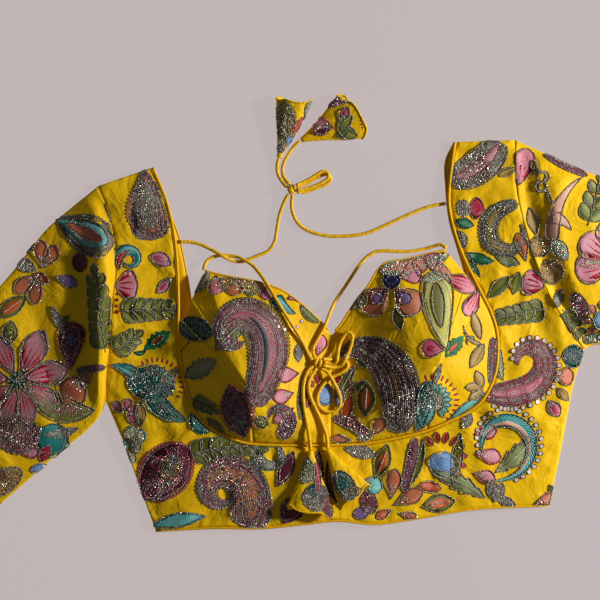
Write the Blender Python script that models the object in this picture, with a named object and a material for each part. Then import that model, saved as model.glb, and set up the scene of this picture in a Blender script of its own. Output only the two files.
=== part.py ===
"""A choli blouse laid flat, face up: padded sweetheart cups in a deep U seam, short sleeves, two ties with latkans.

The blouse lies in the XY plane with its underside on Z = 0, its neck towards +Y and its left side, as it
is seen, towards -X. Tables are in millimetres and are turned into metres as each mesh is made.
"""

import math

import bmesh
import bpy
from mathutils import Vector

MM = 0.001                     # a millimetre, in metres
GAP = 0.3                      # left between neighbouring pieces
CENTRE = Vector((0.7, -1.25, 0.0))   # the middle of the laid-out garment in the tables' own frame

CLOTH = 1.5                    # wall of the lined silk
PADDING = 3.5                  # wall of the moulded cups, measured straight down
APEX_HEIGHT = 42.0             # the cups' highest point above the table
DOME_POWER = 2.2               # 2 is a parabola, more is fuller near the seam
VALLEY = 60.0                  # the cups run out flat this near to the centre front
APEX_PART = 0.3                # each cup piece stands back from the apex by this much
CUP_RISE = 0.8                 # the cups' seam edge above the front body's
SEAM_STEP = 0.03               # half the gap at the foot of a cup's own seam, in sections

SEAM_PIPING = 1.4              # radii of the pipings
EDGE_PIPING = 1.1
HEM_PIPING = 1.1
BACK_PIPING = 0.9

CORD = 3.4                     # diameter of the rolled silk ties
KNOT_BACK = 5.0                # radii of the two bow knots
KNOT_FRONT = 4.6

SLEEVE_FOLD = 3.6              # height of the sleeves' folded edges
LATKAN_WALL = 1.2

YELLOW = (0.86, 0.56, 0.02)
YELLOW_SHADE = (0.70, 0.43, 0.02)
PIPING_YELLOW = (0.88, 0.50, 0.02)
CORD_YELLOW = (0.90, 0.50, 0.03)
LATKAN_GREEN = (0.22, 0.20, 0.10)

# Sections around the U of the front, from the left shoulder down, along the hem and up to the right shoulder.
# Each row: name, neck seam x y z, outer edge x y z (top of the cloth), swell between them, back neck x y.
SECTIONS = [
    ("shoulder left",  -176,  159,  4.5, -228,  141,  5.0,  1.0, -177,  158),
    ("strap left",     -163,  128,  6.0, -219,  121,  9.0,  2.0, -166,  128),
    ("chest left",     -155,   93,  8.0, -212,   92, 12.0,  1.5, -152,   93),
    ("corner left",    -152,   62, 11.0, -210,   62, 13.0,  0.5, -146,   66),
    ("cup left top",   -151,   30, 13.0, -214,   28, 13.0,  0.0, -141,   36),
    ("cup left",       -151,    0, 14.0, -216,  -10, 12.0, -1.0, -138,    4),
    ("cup left low",   -149,  -26, 14.0, -219,  -38, 10.0,  0.0, -134,  -20),
    ("underarm left",  -144,  -50, 13.5, -220,  -63,  6.0,  2.0, -127,  -40),
    ("side left",      -138,  -68, 12.5, -203, -103,  5.0,  2.0, -116,  -56),
    ("waist left",     -126,  -84, 12.0, -189, -142,  4.5,  2.0, -102,  -68),
    ("hem left",       -110,  -94, 11.5, -173, -185,  4.2,  2.0,  -84,  -76),
    ("band 1",          -88, -102, 11.2, -117, -182,  8.5,  1.5,  -66,  -80),
    ("band 2",          -63, -104, 11.2,  -72, -182, 10.0,  1.0,  -46,  -83),
    ("band 3",          -36, -104, 11.2,  -31, -178, 10.5,  0.5,  -22,  -85),
    ("centre front",     -7, -104, 11.2,    0, -175, 10.5,  0.5,    0,  -85),
    ("band 5",           23, -103, 11.2,   32, -178, 10.5,  0.5,   22,  -84),
    ("band 6",           53,  -98, 11.5,   73, -173, 10.0,  1.0,   44,  -80),
    ("band 7",           82,  -91, 12.0,  121, -165,  8.5,  1.5,   64,  -73),
    ("hem right",       106,  -81, 12.5,  200, -161,  4.2,  2.0,   82,  -62),
    ("waist right",     124,  -72, 13.0,  208, -126,  4.5,  2.0,   96,  -50),
    ("side right",      136,  -62, 13.5,  217,  -79,  5.0,  2.0,  107,  -38),
    ("side right top",  143,  -51, 14.0,  223,  -48,  5.5,  2.0,  115,  -24),
    ("underarm right",  148,  -38, 14.5,  233,  -14,  6.0,  1.0,  121,   -8),
    ("cup right low",   151,  -16, 15.0,  220,    4, 10.0,  0.0,  124,   12),
    ("cup right",       150,    4, 15.0,  207,   25, 12.0, -1.0,  125,   30),
    ("cup right top",   144,   23, 14.0,  195,   48, 13.0, -1.0,  124,   46),
    ("corner right",    136,   39, 13.0,  185,   73, 13.0,  0.0,  121,   60),
    ("chest right",     125,   61, 11.0,  176,  106, 12.0,  1.0,  114,   84),
    ("chest right top", 114,   87,  9.0,  169,  138, 11.0,  1.5,  107,  108),
    ("strap right",     105,  128,  7.0,  168,  163,  9.0,  2.0,  103.5, 140),
    ("strap right top", 107,  153,  5.5,  168,  175,  7.0,  1.5,  103.5, 166),
    ("shoulder right",  111,  183,  4.5,  168,  185,  5.0,  1.0,  111,  182),
]
ROW = {row[0]: i for i, row in enumerate(SECTIONS)}
LAST = len(SECTIONS) - 1
CORNERS = [ROW[name] for name in ("underarm left", "hem left", "hem right", "underarm right")]
SEAM = [Vector(row[1:4]) for row in SECTIONS]
EDGE = [Vector(row[4:7]) for row in SECTIONS]
SWELL = [row[7] for row in SECTIONS]
BACK_NECK = [Vector((row[8], row[9], CLOTH)) for row in SECTIONS]

# The band's largest folds, which run down from the cups' seam: section, depth, half width in sections, top weight.
BAND_FOLDS = [
    (10.7, 1.2, 0.35, 0.6),
    (12.1, 1.6, 0.30, 1.0),
    (13.2, 1.2, 0.25, 0.7),
    (15.3, 1.4, 0.30, 0.8),
    (16.6, 1.2, 0.35, 0.5),
]

# Each cup: apex, the rows where its edges meet the seam, and the open edges' points x y z (top of the cup).
CUPS = {
    "left": {
        "apex": (-84, -48), "side_row": 4.5, "seam_row": 11.28,
        "side": [(-146, 14, 13), (-138, 35, 12)],
        "corner": (-126, 60, 9),
        "edge": [(-110, 56, 11), (-88, 52, 14), (-70, 48, 16), (-54, 42, 17),
                 (-39, 32, 16), (-26, 21, 14), (-14, 9, 12)],
    },
    "right": {
        "apex": (91, -33), "side_row": 26.2, "seam_row": 17.12,
        "side": [(137, 31, 14), (122, 56, 12.5)],
        "corner": (102, 80, 9),
        "edge": [(84, 76, 11), (63, 71, 14), (44, 67, 16), (28, 45, 17),
                 (18, 33, 15), (9, 19, 13), (1, 7, 12)],
    },
}
SWEETHEART = (-6, 0, 11)       # the V between the cups
CENTRE_DIP = (-6.5, -52, 13)   # the middle of the seam between the cups

# Each sleeve: the two sections of its armhole, its folded edges from the armhole out, and its crown by length.
SLEEVES = {
    "left": {
        "armhole": (ROW["shoulder left"], ROW["underarm left"]),
        "upper": [(-253, 121), (-277, 100), (-294, 79), (-315, 53), (-350, 17), (-390, -24), (-428, -64)],
        "lower": [(-227, -78), (-238, -90), (-264, -111), (-291, -135), (-321, -161)],
    },
    "right": {
        "armhole": (ROW["shoulder right"], ROW["underarm right"]),
        "upper": [(193, 174), (218, 162), (249, 150), (287, 134), (334, 112), (382, 88), (429, 64)],
        "lower": [(241, -10), (251, -9), (273, -16), (301, -31), (334, -50), (366, -68)],
    },
}
# How far along the sleeve, and how high its crown stands there.
SLEEVE_CROWN = [(0.0, 15), (0.12, 17), (0.3, 13), (0.6, 11), (1.0, 12)]
ARMHOLE_BLEND = 0.14           # the share of the sleeve over which its head leaves the armhole's height

# Latkans: tip, middle of the mouth, half width and height of the mouth, height of the tip's and mouth's undersides.
LATKANS = {
    "latkan_back_left":   {"tip": (-56, 168), "mouth": (-41, 222), "half": 17, "tall": 15, "under": (0.4, 0.4)},
    "latkan_back_right":  {"tip": (-35, 185), "mouth": (17, 208), "half": 24, "tall": 13, "under": (0.4, 0.4)},
    "latkan_front_left":  {"tip": (-26, -109), "mouth": (-27, -165), "half": 19, "tall": 12, "under": (12.6, 12.8)},
    "latkan_front_right": {"tip": (-10, -108), "mouth": (13, -152), "half": 13, "tall": 13, "under": (12.6, 13.0)},
}
LATKAN_TIP = 2.6               # radius of a latkan's bound tip
LATKAN_SECTIONS = [(0.0, 0.0), (0.12, 0.10), (0.4, 0.38), (0.75, 0.80), (1.0, 1.0)]

KNOTS = {"knot_back": ((-44, 138, 5.4), KNOT_BACK), "knot_front": ((-19, -26, 20.4), KNOT_FRONT)}

# The ties' routes, point by point along the middle of the cord: x y z. They lie on the table or on the cups.
TIE_STEP = 2.6                 # between the points of a tie's solid, in cord diameters
BOW_STEP = 1.6                 # and of a bow's loops and tails
ROUTES = {
    "tie_back_left": [
        (-148, 88.5, 3.0), (-141, 88.4, 2.0), (-131, 86.2, 2.0), (-121, 81.5, 3.4), (-115, 78.4, 5.4),
        (-110, 75.4, 6.0), (-104.5, 72.4, 4.6), (-99, 70.3, 2.6), (-92, 69.6, 2.0), (-86, 71.4, 2.0),
        (-76, 75.5, 2.0), (-66, 80.0, 2.0), (-60.5, 88, 2.0), (-58, 100, 2.0), (-56, 112, 2.0),
        (-52.5, 123, 2.6), (-49.5, 129.5, 3.8), (-47.2, 133.5, 5.0)],
    "tie_back_right": [
        (100.6, 124.6, 2.0), (94, 123.6, 2.0), (87, 122, 2.0), (75, 117.7, 2.0), (64, 113, 2.0),
        (52, 107.5, 2.0), (40, 102, 2.0), (31, 98, 2.0), (20, 95.2, 2.0), (7, 94, 2.0), (-5, 93.8, 2.0),
        (-16, 95.2, 2.0), (-27, 98.5, 2.0), (-36.5, 104.5, 2.0), (-42, 113.5, 2.0), (-44, 121, 2.5),
        (-44, 127, 3.6), (-43.4, 132.5, 5.0)],
    "bow_back_low": [
        (-39.2, 140.8, 4.3), (-35, 142.2, 2.6), (-28, 145, 2.0), (-20.5, 149, 2.0), (-14, 152, 2.0),
        (-8.8, 152.2, 2.0), (-6.8, 148.4, 2.0), (-9.6, 144.2, 2.0), (-17.5, 140.6, 2.0), (-26, 137.6, 2.0),
        (-33, 135.6, 2.6), (-38.7, 135.8, 4.3)],
    "bow_back_high": [
        (-39.6, 142.0, 8.9), (-35.5, 143.8, 7.4), (-28, 147.4, 6.2), (-20.5, 152, 5.8), (-14.5, 155.2, 5.7),
        (-9.8, 154.2, 5.7), (-9.2, 149.4, 5.7), (-15, 145, 5.7), (-23, 141.2, 5.9), (-30.5, 138.6, 6.8),
        (-35.5, 137.6, 7.8), (-38.8, 137.5, 8.9)],
    "tail_back_left": [
        (-48.9, 140.5, 5.0), (-52, 144.2, 3.2), (-55.6, 149.6, 2.3), (-57.6, 156, 2.2), (-57.6, 162, 2.6),
        (-56.2, 167.2, 3.0)],
    "tail_back_right": [
        (-46, 143.0, 5.0), (-49.2, 146.8, 3.4), (-52, 151.6, 2.3), (-52.8, 157, 2.0), (-51.6, 163, 2.0),
        (-47.6, 170.6, 2.0), (-42.6, 178, 2.0), (-39.4, 181.4, 2.4), (-36.1, 184.2, 3.0)],
    "tie_front_left": [
        (-127.5, 64, 7.0), (-125.5, 68.5, 4.6), (-120, 73.4, 2.4), (-114.5, 75.2, 2.0), (-110, 75.6, 2.0),
        (-104.5, 75.3, 2.0), (-98.5, 74.8, 2.6), (-92.5, 73.0, 4.6), (-87, 70.2, 6.2), (-81.5, 66.4, 7.4),
        (-75, 59.2, 12.5), (-69, 51, 18.4), (-63.5, 42.2, 22.4), (-58, 33, 24.9), (-46, 14, 25.8),
        (-35, -4, 23.3), (-30.5, -12.5, 21.4), (-27.3, -19.4, 20.4), (-24.4, -24.3, 20.4)],
    "tie_front_right": [
        (103.5, 85, 7.4), (98, 85.6, 5.8), (91, 84.2, 3.8), (84, 82.2, 2.4), (76, 80.6, 2.0),
        (68, 79.4, 2.0), (56, 79.4, 2.0), (45, 80, 2.0), (36.5, 79.2, 2.0), (29, 75.4, 2.0), (20, 66, 2.0),
        (10, 51, 2.0), (4, 42, 2.4), (-2, 33, 4.2), (-7, 23, 8.6), (-10, 15, 12.6), (-12.8, 8, 14.9),
        (-17.5, -0.5, 16.6), (-21.5, -7.5, 18.0), (-23.8, -13, 19.2), (-23.4, -18, 20.2), (-21.6, -21.4, 20.5)],
    "bow_front_drop": [
        (-14.5, -22.5, 21.9), (-10, -22.6, 19.4), (-4.5, -22.8, 16.2), (1, -23.0, 15.0), (5.5, -23.6, 15.4),
        (8.8, -26.2, 16.0), (8.8, -30.2, 16.1), (5.4, -33.8, 16.0), (0, -36.8, 15.6), (-6, -39.6, 15.1),
        (-11.2, -43.6, 15.8), (-16, -49.4, 17.4), (-19.4, -57, 18.4), (-19.4, -63.8, 18.3), (-15.8, -69.2, 17.0),
        (-9, -72.4, 15.7), (-2.6, -71.6, 15.7), (1.4, -67, 16.1), (2.2, -61, 16.5), (0.8, -55, 16.3),
        (-2, -48.4, 17.0), (-5, -42.8, 18.6), (-7.6, -38.4, 19.0), (-10.4, -34.8, 18.4), (-13.4, -32.2, 18.2),
        (-16.6, -30.6, 19.0)],
    "bow_front_rise": [
        (-13.3, -25.6, 18.8), (-8.6, -26.4, 17.6), (-4, -26.8, 17.8), (-1.6, -24.6, 19.4), (-0.6, -20, 18.8),
        (0, -14.5, 15.8), (1.6, -8, 15.0), (4.2, -2.6, 15.4), (8.6, 2.8, 16.4), (12.8, 1.2, 16.8),
        (13.0, -5.6, 16.6), (11.2, -12.5, 16.6), (9.0, -18.2, 17.2), (6.8, -22.8, 19.2), (4.6, -26.6, 18.8),
        (1.2, -29.4, 17.2), (-3, -30.2, 17.2), (-7.4, -30.0, 18.6), (-11, -29.2, 20.4), (-14.0, -28.6, 22.0)],
    "tail_front_left": [
        (-23.6, -28.4, 20.4), (-27.6, -32.4, 21.2), (-31, -39, 22.8), (-33, -48, 24.0), (-33, -60, 23.8),
        (-32, -70, 23.0), (-30.2, -80, 21.8), (-28.4, -90, 20.2), (-27.2, -98, 17.8), (-26.4, -104, 15.9),
        (-26.0, -108.2, 15.2)],
    "tail_front_right": [
        (-20.3, -31.1, 20.6), (-23.6, -35.4, 20.8), (-26.6, -41, 21.2), (-28, -48, 21.8), (-27.4, -54, 21.5),
        (-25, -61, 20.6), (-19, -74, 18.0), (-14, -86, 16.3), (-11, -95, 15.5), (-10.2, -101, 15.2),
        (-10.0, -107.2, 15.2)],
}


def curve_point(points, at, corners=()):
    """The point of a smooth curve through the points, where at counts points; it turns sharply at the corners."""
    i = min(int(at), len(points) - 2)
    t = at - i
    start, end = points[i], points[i + 1]
    length = (end - start).length
    chord = (end - start) / length

    def slope(j):
        """The curve's direction at point j, inside the stretch i to i + 1."""
        other = j - 1 if j == i else j + 1
        if j in corners or not 0 <= other < len(points):
            return chord
        reach = (points[other] - points[j]).length
        across = (points[other] - points[j]) / reach * (1 if other > j else -1)
        return (chord * reach + across * length) / (reach + length)

    blend = t * t * (3 - 2 * t)
    return (start.lerp(end, blend) + slope(i) * (length * t * (1 - t) ** 2)
            + slope(i + 1) * (length * t * t * (t - 1)))


def even_points(points, count):
    """Points at even steps along the smooth curve through the given ones, with both ends."""
    fine = [curve_point(points, k * (len(points) - 1) / 400) for k in range(401)]
    along = [0.0]
    for a, b in zip(fine, fine[1:]):
        along.append(along[-1] + (b - a).length)
    out, k = [], 0
    for step in range(count):
        target = along[-1] * step / (count - 1)
        while k < 399 and along[k + 1] < target:
            k += 1
        part = (target - along[k]) / max(along[k + 1] - along[k], 1e-9)
        out.append(fine[k].lerp(fine[k + 1], min(part, 1.0)))
    return out


def table_value(rows, at):
    """A straight-line reading of rows of (place, value)."""
    for (a, low), (b, high) in zip(rows, rows[1:]):
        if at <= b:
            return low + (high - low) * (at - a) / (b - a)
    return rows[-1][1]


def material(name, colour, roughness=0.55):
    """A plain Principled material for one kind of cloth."""
    made = bpy.data.materials.get(name)
    if made is None:
        made = bpy.data.materials.new(name)
        made.use_nodes = True
        shader = made.node_tree.nodes["Principled BSDF"]
        shader.inputs["Base Color"].default_value = (*colour, 1.0)
        shader.inputs["Roughness"].default_value = roughness
        shader.inputs["Metallic"].default_value = 0.0
    return made


def keep(obj, finish):
    """Gives an object its material and puts it in the scene."""
    obj.data.materials.append(finish)
    bpy.context.scene.collection.objects.link(obj)
    return obj


def mesh_object(name, verts, faces, finish):
    """A smooth-shaded closed mesh from points in the tables' frame."""
    mesh = bpy.data.meshes.new(name)
    mesh.from_pydata([(v - CENTRE) * MM for v in verts], [], faces)
    work = bmesh.new()
    work.from_mesh(mesh)
    bmesh.ops.recalc_face_normals(work, faces=work.faces)
    work.to_mesh(mesh)
    work.free()
    mesh.shade_smooth()
    mesh.set_sharp_from_angle(angle=math.radians(50))
    return keep(bpy.data.objects.new(name, mesh), finish)


def panel(name, rows, wall, finish):
    """A cloth panel: a grid of top points, and the same grid lowered by the wall."""
    across = len(rows[0])
    top = [point for row in rows for point in row]
    drop = Vector((0, 0, wall))
    verts = top + [point - drop for point in top]
    under = len(top)
    faces = []
    for i in range(len(rows) - 1):
        for j in range(across - 1):
            a, b = i * across + j, (i + 1) * across + j
            faces.append((a, a + 1, b + 1, b))
            faces.append((under + a, under + b, under + b + 1, under + a + 1))
    rim = ([j for j in range(across)] + [i * across + across - 1 for i in range(1, len(rows))]
           + [(len(rows) - 1) * across + j for j in range(across - 2, -1, -1)]
           + [i * across for i in range(len(rows) - 2, 0, -1)])
    for a, b in zip(rim, rim[1:] + rim[:1]):
        faces.append((b, a, under + a, under + b))
    return mesh_object(name, verts, faces, finish)


def fan(name, rows, tip, wall, finish):
    """A cup piece: rows of top points that close in on one tip, and the same points lowered by the wall."""
    across = len(rows[0])
    top = [point for row in rows for point in row] + [tip]
    drop = Vector((0, 0, wall))
    verts = top + [point - drop for point in top]
    under = len(top)
    apex = under - 1
    faces = []
    for i in range(len(rows)):
        for j in range(across - 1):
            a, b = i * across + j, (i + 1) * across + j
            if i == len(rows) - 1:
                faces.append((a, a + 1, apex))
                faces.append((under + a, under + apex, under + a + 1))
            else:
                faces.append((a, a + 1, b + 1, b))
                faces.append((under + a, under + b, under + b + 1, under + a + 1))
    rim = ([j for j in range(across)] + [i * across + across - 1 for i in range(1, len(rows))] + [apex]
           + [i * across for i in range(len(rows) - 1, 0, -1)])
    for a, b in zip(rim, rim[1:] + rim[:1]):
        faces.append((b, a, under + a, under + b))
    return mesh_object(name, verts, faces, finish)


def tube(name, outer, inner, finish, closed_start=False):
    """A cloth tube: rings of outer and inner points, open at its end and, unless closed, at its start."""
    size = len(outer[0])
    verts = [p for ring in outer for p in ring] + [p for ring in inner for p in ring]
    inside = len(outer) * size
    faces = []
    for i in range(len(outer) - 1):
        for j in range(size):
            a, b = i * size + j, i * size + (j + 1) % size
            faces.append((a, b, b + size, a + size))
            faces.append((inside + b, inside + a, inside + a + size, inside + b + size))
    ends = [(len(outer) - 1) * size]
    if closed_start:
        faces.append(tuple(range(size - 1, -1, -1)))
        faces.append(tuple(range(inside, inside + size)))
    else:
        ends.append(0)
    for first in ends:
        for j in range(size):
            a, b = first + j, first + (j + 1) % size
            faces.append((a, b, inside + b, inside + a))
    return mesh_object(name, verts, faces, finish)


def round_cord(name, points, radius, finish, sides=8, closed=False):
    """A round cord or piping along the points."""
    data = bpy.data.curves.new(name, "CURVE")
    data.dimensions = "3D"
    data.bevel_depth = radius * MM
    data.bevel_resolution = (sides - 4) // 2
    data.use_fill_caps = not closed
    line = data.splines.new("POLY")
    line.points.add(len(points) - 1)
    for slot, point in zip(line.points, points):
        slot.co = (*((point - CENTRE) * MM), 1.0)
    line.use_cyclic_u = closed
    return keep(bpy.data.objects.new(name, data), finish)


def outward(i):
    """The direction in plan from the neck seam to the outer edge at a section."""
    flat = curve_point(EDGE, i, CORNERS) - curve_point(SEAM, i)
    flat.z = 0
    return flat.normalized()


def band_fold(i, v):
    """How deep the band's folds are at section i, where v runs from the neck seam to the outer edge."""
    depth = 0.0
    for place, deep, half, at_top in BAND_FOLDS:
        near = max(0.0, 1.0 - ((i - place) / half) ** 2)
        depth += deep * near * near * (at_top + (0.5 - at_top) * v) * min(1.0, 8 * v, 8 * (1 - v))
    return depth


def front_point(i, v):
    """The top of the front body at section i, v from 0 at the neck seam to 1 at the outer edge."""
    start = curve_point(SEAM, i) + outward(i) * (SEAM_PIPING + GAP)
    end = curve_point(EDGE, i, CORNERS)
    low = min(int(i), LAST - 1)
    swell = SWELL[low] + (SWELL[low + 1] - SWELL[low]) * (i - low)
    point = start.lerp(end, v)
    point.z += swell * 4 * v * (1 - v) - band_fold(i, v)
    return point


def back_point(i, v):
    """The top of the back panel at section i, v from 0 at its neck edge to 1 at its outer edge."""
    edge = curve_point(EDGE, i, CORNERS)
    edge.z = CLOTH
    return curve_point(BACK_NECK, i).lerp(edge, v)


def body_panels(silk, silk_shade):
    """The U-shaped front body and the back panel, each from the sections' rows."""
    fine = [k / 2 for k in range(2 * LAST + 1)]
    panel("front_body", [[front_point(i, v / 6) for v in range(7)] for i in fine], CLOTH, silk)
    panel("back_panel", [[back_point(i, v / 2) for v in range(3)] for i in fine], CLOTH, silk_shade)


def open_edge(side):
    """The cup's open edge, from its corner at the tie to the V between the cups."""
    cup = CUPS[side]
    points = [Vector(p) for p in (cup["corner"], *cup["edge"], SWEETHEART)]
    return [curve_point(points, k / 2) for k in range(2 * len(points) - 1)]


def cup_outline(side):
    """The outline of a cup's two pieces: lists of top points for the upper piece and for the side piece."""
    cup = CUPS[side]
    toward = 1 if side == "left" else -1
    middle = ROW["centre front"]

    def seam_run(start, end):
        """Points just inside the neck seam's piping."""
        count = max(2, round(abs(end - start)))
        rows = [start + (end - start) * k / count for k in range(count + 1)]
        return [curve_point(SEAM, i) - outward(i) * (SEAM_PIPING + 2 * GAP) + Vector((0, 0, CUP_RISE)) for i in rows]

    part = Vector((toward * GAP / 2, 0, 0))
    low, dip, top = SEAM[middle] + Vector((0, SEAM_PIPING + 2 * GAP, CUP_RISE)), Vector(CENTRE_DIP), Vector(SWEETHEART)
    centre = [point - part for point in (low, low.lerp(dip, 0.5), dip, dip.lerp(top, 0.5), top)]
    edge = open_edge(side)[-2::-1]
    low_side, high_side = (Vector(p) for p in cup["side"])
    seam_gap = (edge[-1] - high_side).normalized() * GAP
    step = SEAM_STEP * toward
    upper = seam_run(cup["seam_row"] + step, middle)[:-1] + centre + edge + [high_side + seam_gap]
    lower = [high_side - seam_gap, low_side] + seam_run(cup["side_row"], cup["seam_row"] - step)
    return upper, lower


def cup_rows(outline, tip, count):
    """Rows from a cup piece's outline in to its tip, on a smooth dome."""
    rows = []
    for k in range(count):
        t = k / count
        dome, flat = 1 - (1 - t) ** DOME_POWER, t * t * (3 - 2 * t)
        row = []
        for point in outline:
            soft = max(0.0, 1 - abs(point.x - SWEETHEART[0]) / VALLEY)
            inner = point.lerp(tip, t)
            inner.z = point.z + (tip.z - point.z) * (dome + (flat - dome) * soft)
            row.append(inner)
        rows.append(row)
    return rows


def cups(silk):
    """The two pieces of each padded cup, and the piping along its open edge."""
    for side, cup in CUPS.items():
        upper, lower = cup_outline(side)
        apex = Vector((*cup["apex"], APEX_HEIGHT))
        for name, outline in (("upper", upper), ("side", lower)):
            middle = outline[len(outline) // 2]
            back = Vector((middle.x - apex.x, middle.y - apex.y, 0)).normalized() * APEX_PART
            fan(f"cup_{name}_{side}", cup_rows(outline, apex + back, 6), apex + back, PADDING, silk)


def sleeve_patch(side):
    """A function (u, v) for the sleeve in plan: u across from its upper to its lower fold, v out from the armhole."""
    sleeve = SLEEVES[side]
    first, last = sleeve["armhole"]

    def armhole(u):
        i = first + (last - first) * u
        point = curve_point(EDGE, i, CORNERS)
        return point + outward(i) * GAP

    def fold(start, points):
        route = [start] + [Vector((*p, 0)) for p in points]
        fine = even_points([Vector((p.x, p.y, 0)) for p in route], 81)

        def at(v):
            k = min(int(v * 80), 79)
            return fine[k].lerp(fine[k + 1], v * 80 - k)

        return at

    upper, lower = fold(armhole(0), sleeve["upper"]), fold(armhole(1), sleeve["lower"])

    def place(u, v):
        start = armhole(u)
        start.z = 0
        corner_a, corner_b = upper(0), lower(0)
        end_a, end_b = upper(1), lower(1)
        return ((1 - v) * start + v * end_a.lerp(end_b, u) + (1 - u) * upper(v) + u * lower(v)
                - (1 - v) * corner_a.lerp(corner_b, u) - v * end_a.lerp(end_b, u))

    return place, armhole


def sleeve_height(u, v, armhole_height):
    """The top of a sleeve: a low rounded crown between its folds, that starts at the armhole's own height."""
    crown = table_value(SLEEVE_CROWN, v)
    body = SLEEVE_FOLD + (crown - SLEEVE_FOLD) * (1 - abs(2 * u - 1) ** 2.6)
    t = min(1.0, v / ARMHOLE_BLEND)
    return armhole_height + (body - armhole_height) * t * t * (3 - 2 * t)


def sleeve(side, silk, piping):
    """One sleeve, a flattened tube from the armhole to the hem, with its piping."""
    place, armhole = sleeve_patch(side)
    first, last = SLEEVES[side]["armhole"]
    across, along = 2 * abs(last - first), 7
    outer, inner = [], []
    for k in range(along + 1):
        v = (k / along) ** 1.4           # closer rings at the sleeve's head
        top, bottom, top_in, bottom_in = [], [], [], []
        for j in range(across + 1):
            u = j / across
            point = place(u, v)
            high = max(sleeve_height(u, v, armhole(u).z), SLEEVE_FOLD)
            top.append(Vector((point.x, point.y, high)))
            bottom.append(Vector((point.x, point.y, 0)))
        inset = CLOTH / (top[-1] - top[0]).length
        for j in range(across + 1):
            u = min(max(j / across, inset), 1 - inset)
            point = place(u, v)
            high = max(sleeve_height(u, v, armhole(u).z), SLEEVE_FOLD)
            top_in.append(Vector((point.x, point.y, high - CLOTH)))
            bottom_in.append(Vector((point.x, point.y, CLOTH)))
        outer.append(top + bottom[::-1])
        inner.append(top_in + bottom_in[::-1])
    tube(f"sleeve_{side}", outer, inner, silk)
    hem_line = (outer[-1][across] - outer[-1][0]).normalized()
    away = Vector((hem_line.y, -hem_line.x, 0)) * (HEM_PIPING + GAP)
    if (away.x < 0) != (side == "left"):
        away = -away
    ring = [p + away + Vector((0, 0, HEM_PIPING if p.z < 1 else -HEM_PIPING)) for p in outer[-1]]
    round_cord(f"sleeve_piping_{side}", ring, HEM_PIPING, piping, sides=6, closed=True)


def pipings(piping):
    """The pipings along the neck seam, the cups' open edges, the back neck and both layers of the hem."""
    seam = [curve_point(SEAM, k / 2) for k in range(2 * LAST + 1)]
    round_cord("neck_piping", seam, SEAM_PIPING, piping, sides=6)
    fine = [curve_point(BACK_NECK, k / 2) for k in range(2 * LAST + 1)]
    back = []
    for k, here in enumerate(fine):
        ahead = fine[min(k + 1, 2 * LAST)] - fine[max(k - 1, 0)]
        inward = Vector((-ahead.y, ahead.x, 0)).normalized()
        back.append(here + inward * (BACK_PIPING + 2 * GAP) + Vector((0, 0, BACK_PIPING - CLOTH)))
    round_cord("back_neck_piping", back, BACK_PIPING, piping, sides=6)

    first, last = ROW["hem left"], ROW["hem right"]
    rows = [k / 2 for k in range(2 * first, 2 * last + 1)]
    hem = [curve_point(EDGE, i, CORNERS) + Vector((0, -HEM_PIPING - GAP, -CLOTH / 2)) for i in rows]
    round_cord("hem_piping_front", hem, HEM_PIPING, piping, sides=6)
    low = [Vector((p.x, p.y, BACK_PIPING)) for p in hem]
    round_cord("hem_piping_back", low, BACK_PIPING, piping, sides=6)

    for side in CUPS:
        lean = 1 if side == "left" else -1
        points = open_edge(side)
        line = []
        for k, here in enumerate(points[:-1]):
            ahead = points[k + 1] - points[max(k - 1, 0)]
            off = Vector((-ahead.y, ahead.x, 0)).normalized() * lean
            line.append(here + off * (EDGE_PIPING + 2 * GAP) + Vector((0, 0, -EDGE_PIPING)))
        round_cord(f"cup_piping_{side}", line, EDGE_PIPING, piping, sides=6)


def latkan(name, spec, finish):
    """A latkan: a flattened cone of folded cloth with an open mouth and a bound tip."""
    tip, mouth = Vector((*spec["tip"], 0)), Vector((*spec["mouth"], 0))
    along = (mouth - tip).normalized()
    across = Vector((-along.y, along.x, 0))
    outer, inner = [], []
    for place, spread in LATKAN_SECTIONS:
        half = LATKAN_TIP + (spec["half"] - LATKAN_TIP) * spread
        tall = 2 * LATKAN_TIP + (spec["tall"] - 2 * LATKAN_TIP) * spread
        base = spec["under"][0] + (spec["under"][1] - spec["under"][0]) * place
        middle = tip.lerp(mouth, place) + Vector((0, 0, base + tall / 2))
        inside = middle + along * (LATKAN_WALL if place == 0 else 0)
        for rings, cut, centre in ((outer, 0, middle), (inner, LATKAN_WALL, inside)):
            ring = []
            for k in range(12):
                angle = 2 * math.pi * k / 12
                ring.append(centre + across * (half - cut) * math.cos(angle)
                            + Vector((0, 0, (tall / 2 - cut) * math.sin(angle))))
            rings.append(ring)
    tube(name, outer, inner, finish, closed_start=True)


def knot(name, centre, radius, finish):
    """A bow's knot, as the round lump that its turns make."""
    mesh = bpy.data.meshes.new(name)
    work = bmesh.new()
    bmesh.ops.create_uvsphere(work, u_segments=12, v_segments=8, radius=radius * MM)
    bmesh.ops.translate(work, verts=work.verts, vec=(Vector(centre) - CENTRE) * MM)
    work.to_mesh(mesh)
    work.free()
    mesh.shade_smooth()
    return keep(bpy.data.objects.new(name, mesh), finish)


def ties(cord, latkan_cloth):
    """The ties' cords along their routes, their knots and their latkans."""
    for name, route in ROUTES.items():
        points = [Vector(p) for p in route]
        length = sum((b - a).length for a, b in zip(points, points[1:]))
        step = CORD * (TIE_STEP if name.startswith("tie") else BOW_STEP)
        round_cord(name, even_points(points, round(length / step)), CORD / 2, cord)
    for name, (centre, radius) in KNOTS.items():
        knot(name, centre, radius, cord)
    for name, spec in LATKANS.items():
        latkan(name, spec, latkan_cloth)


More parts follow.
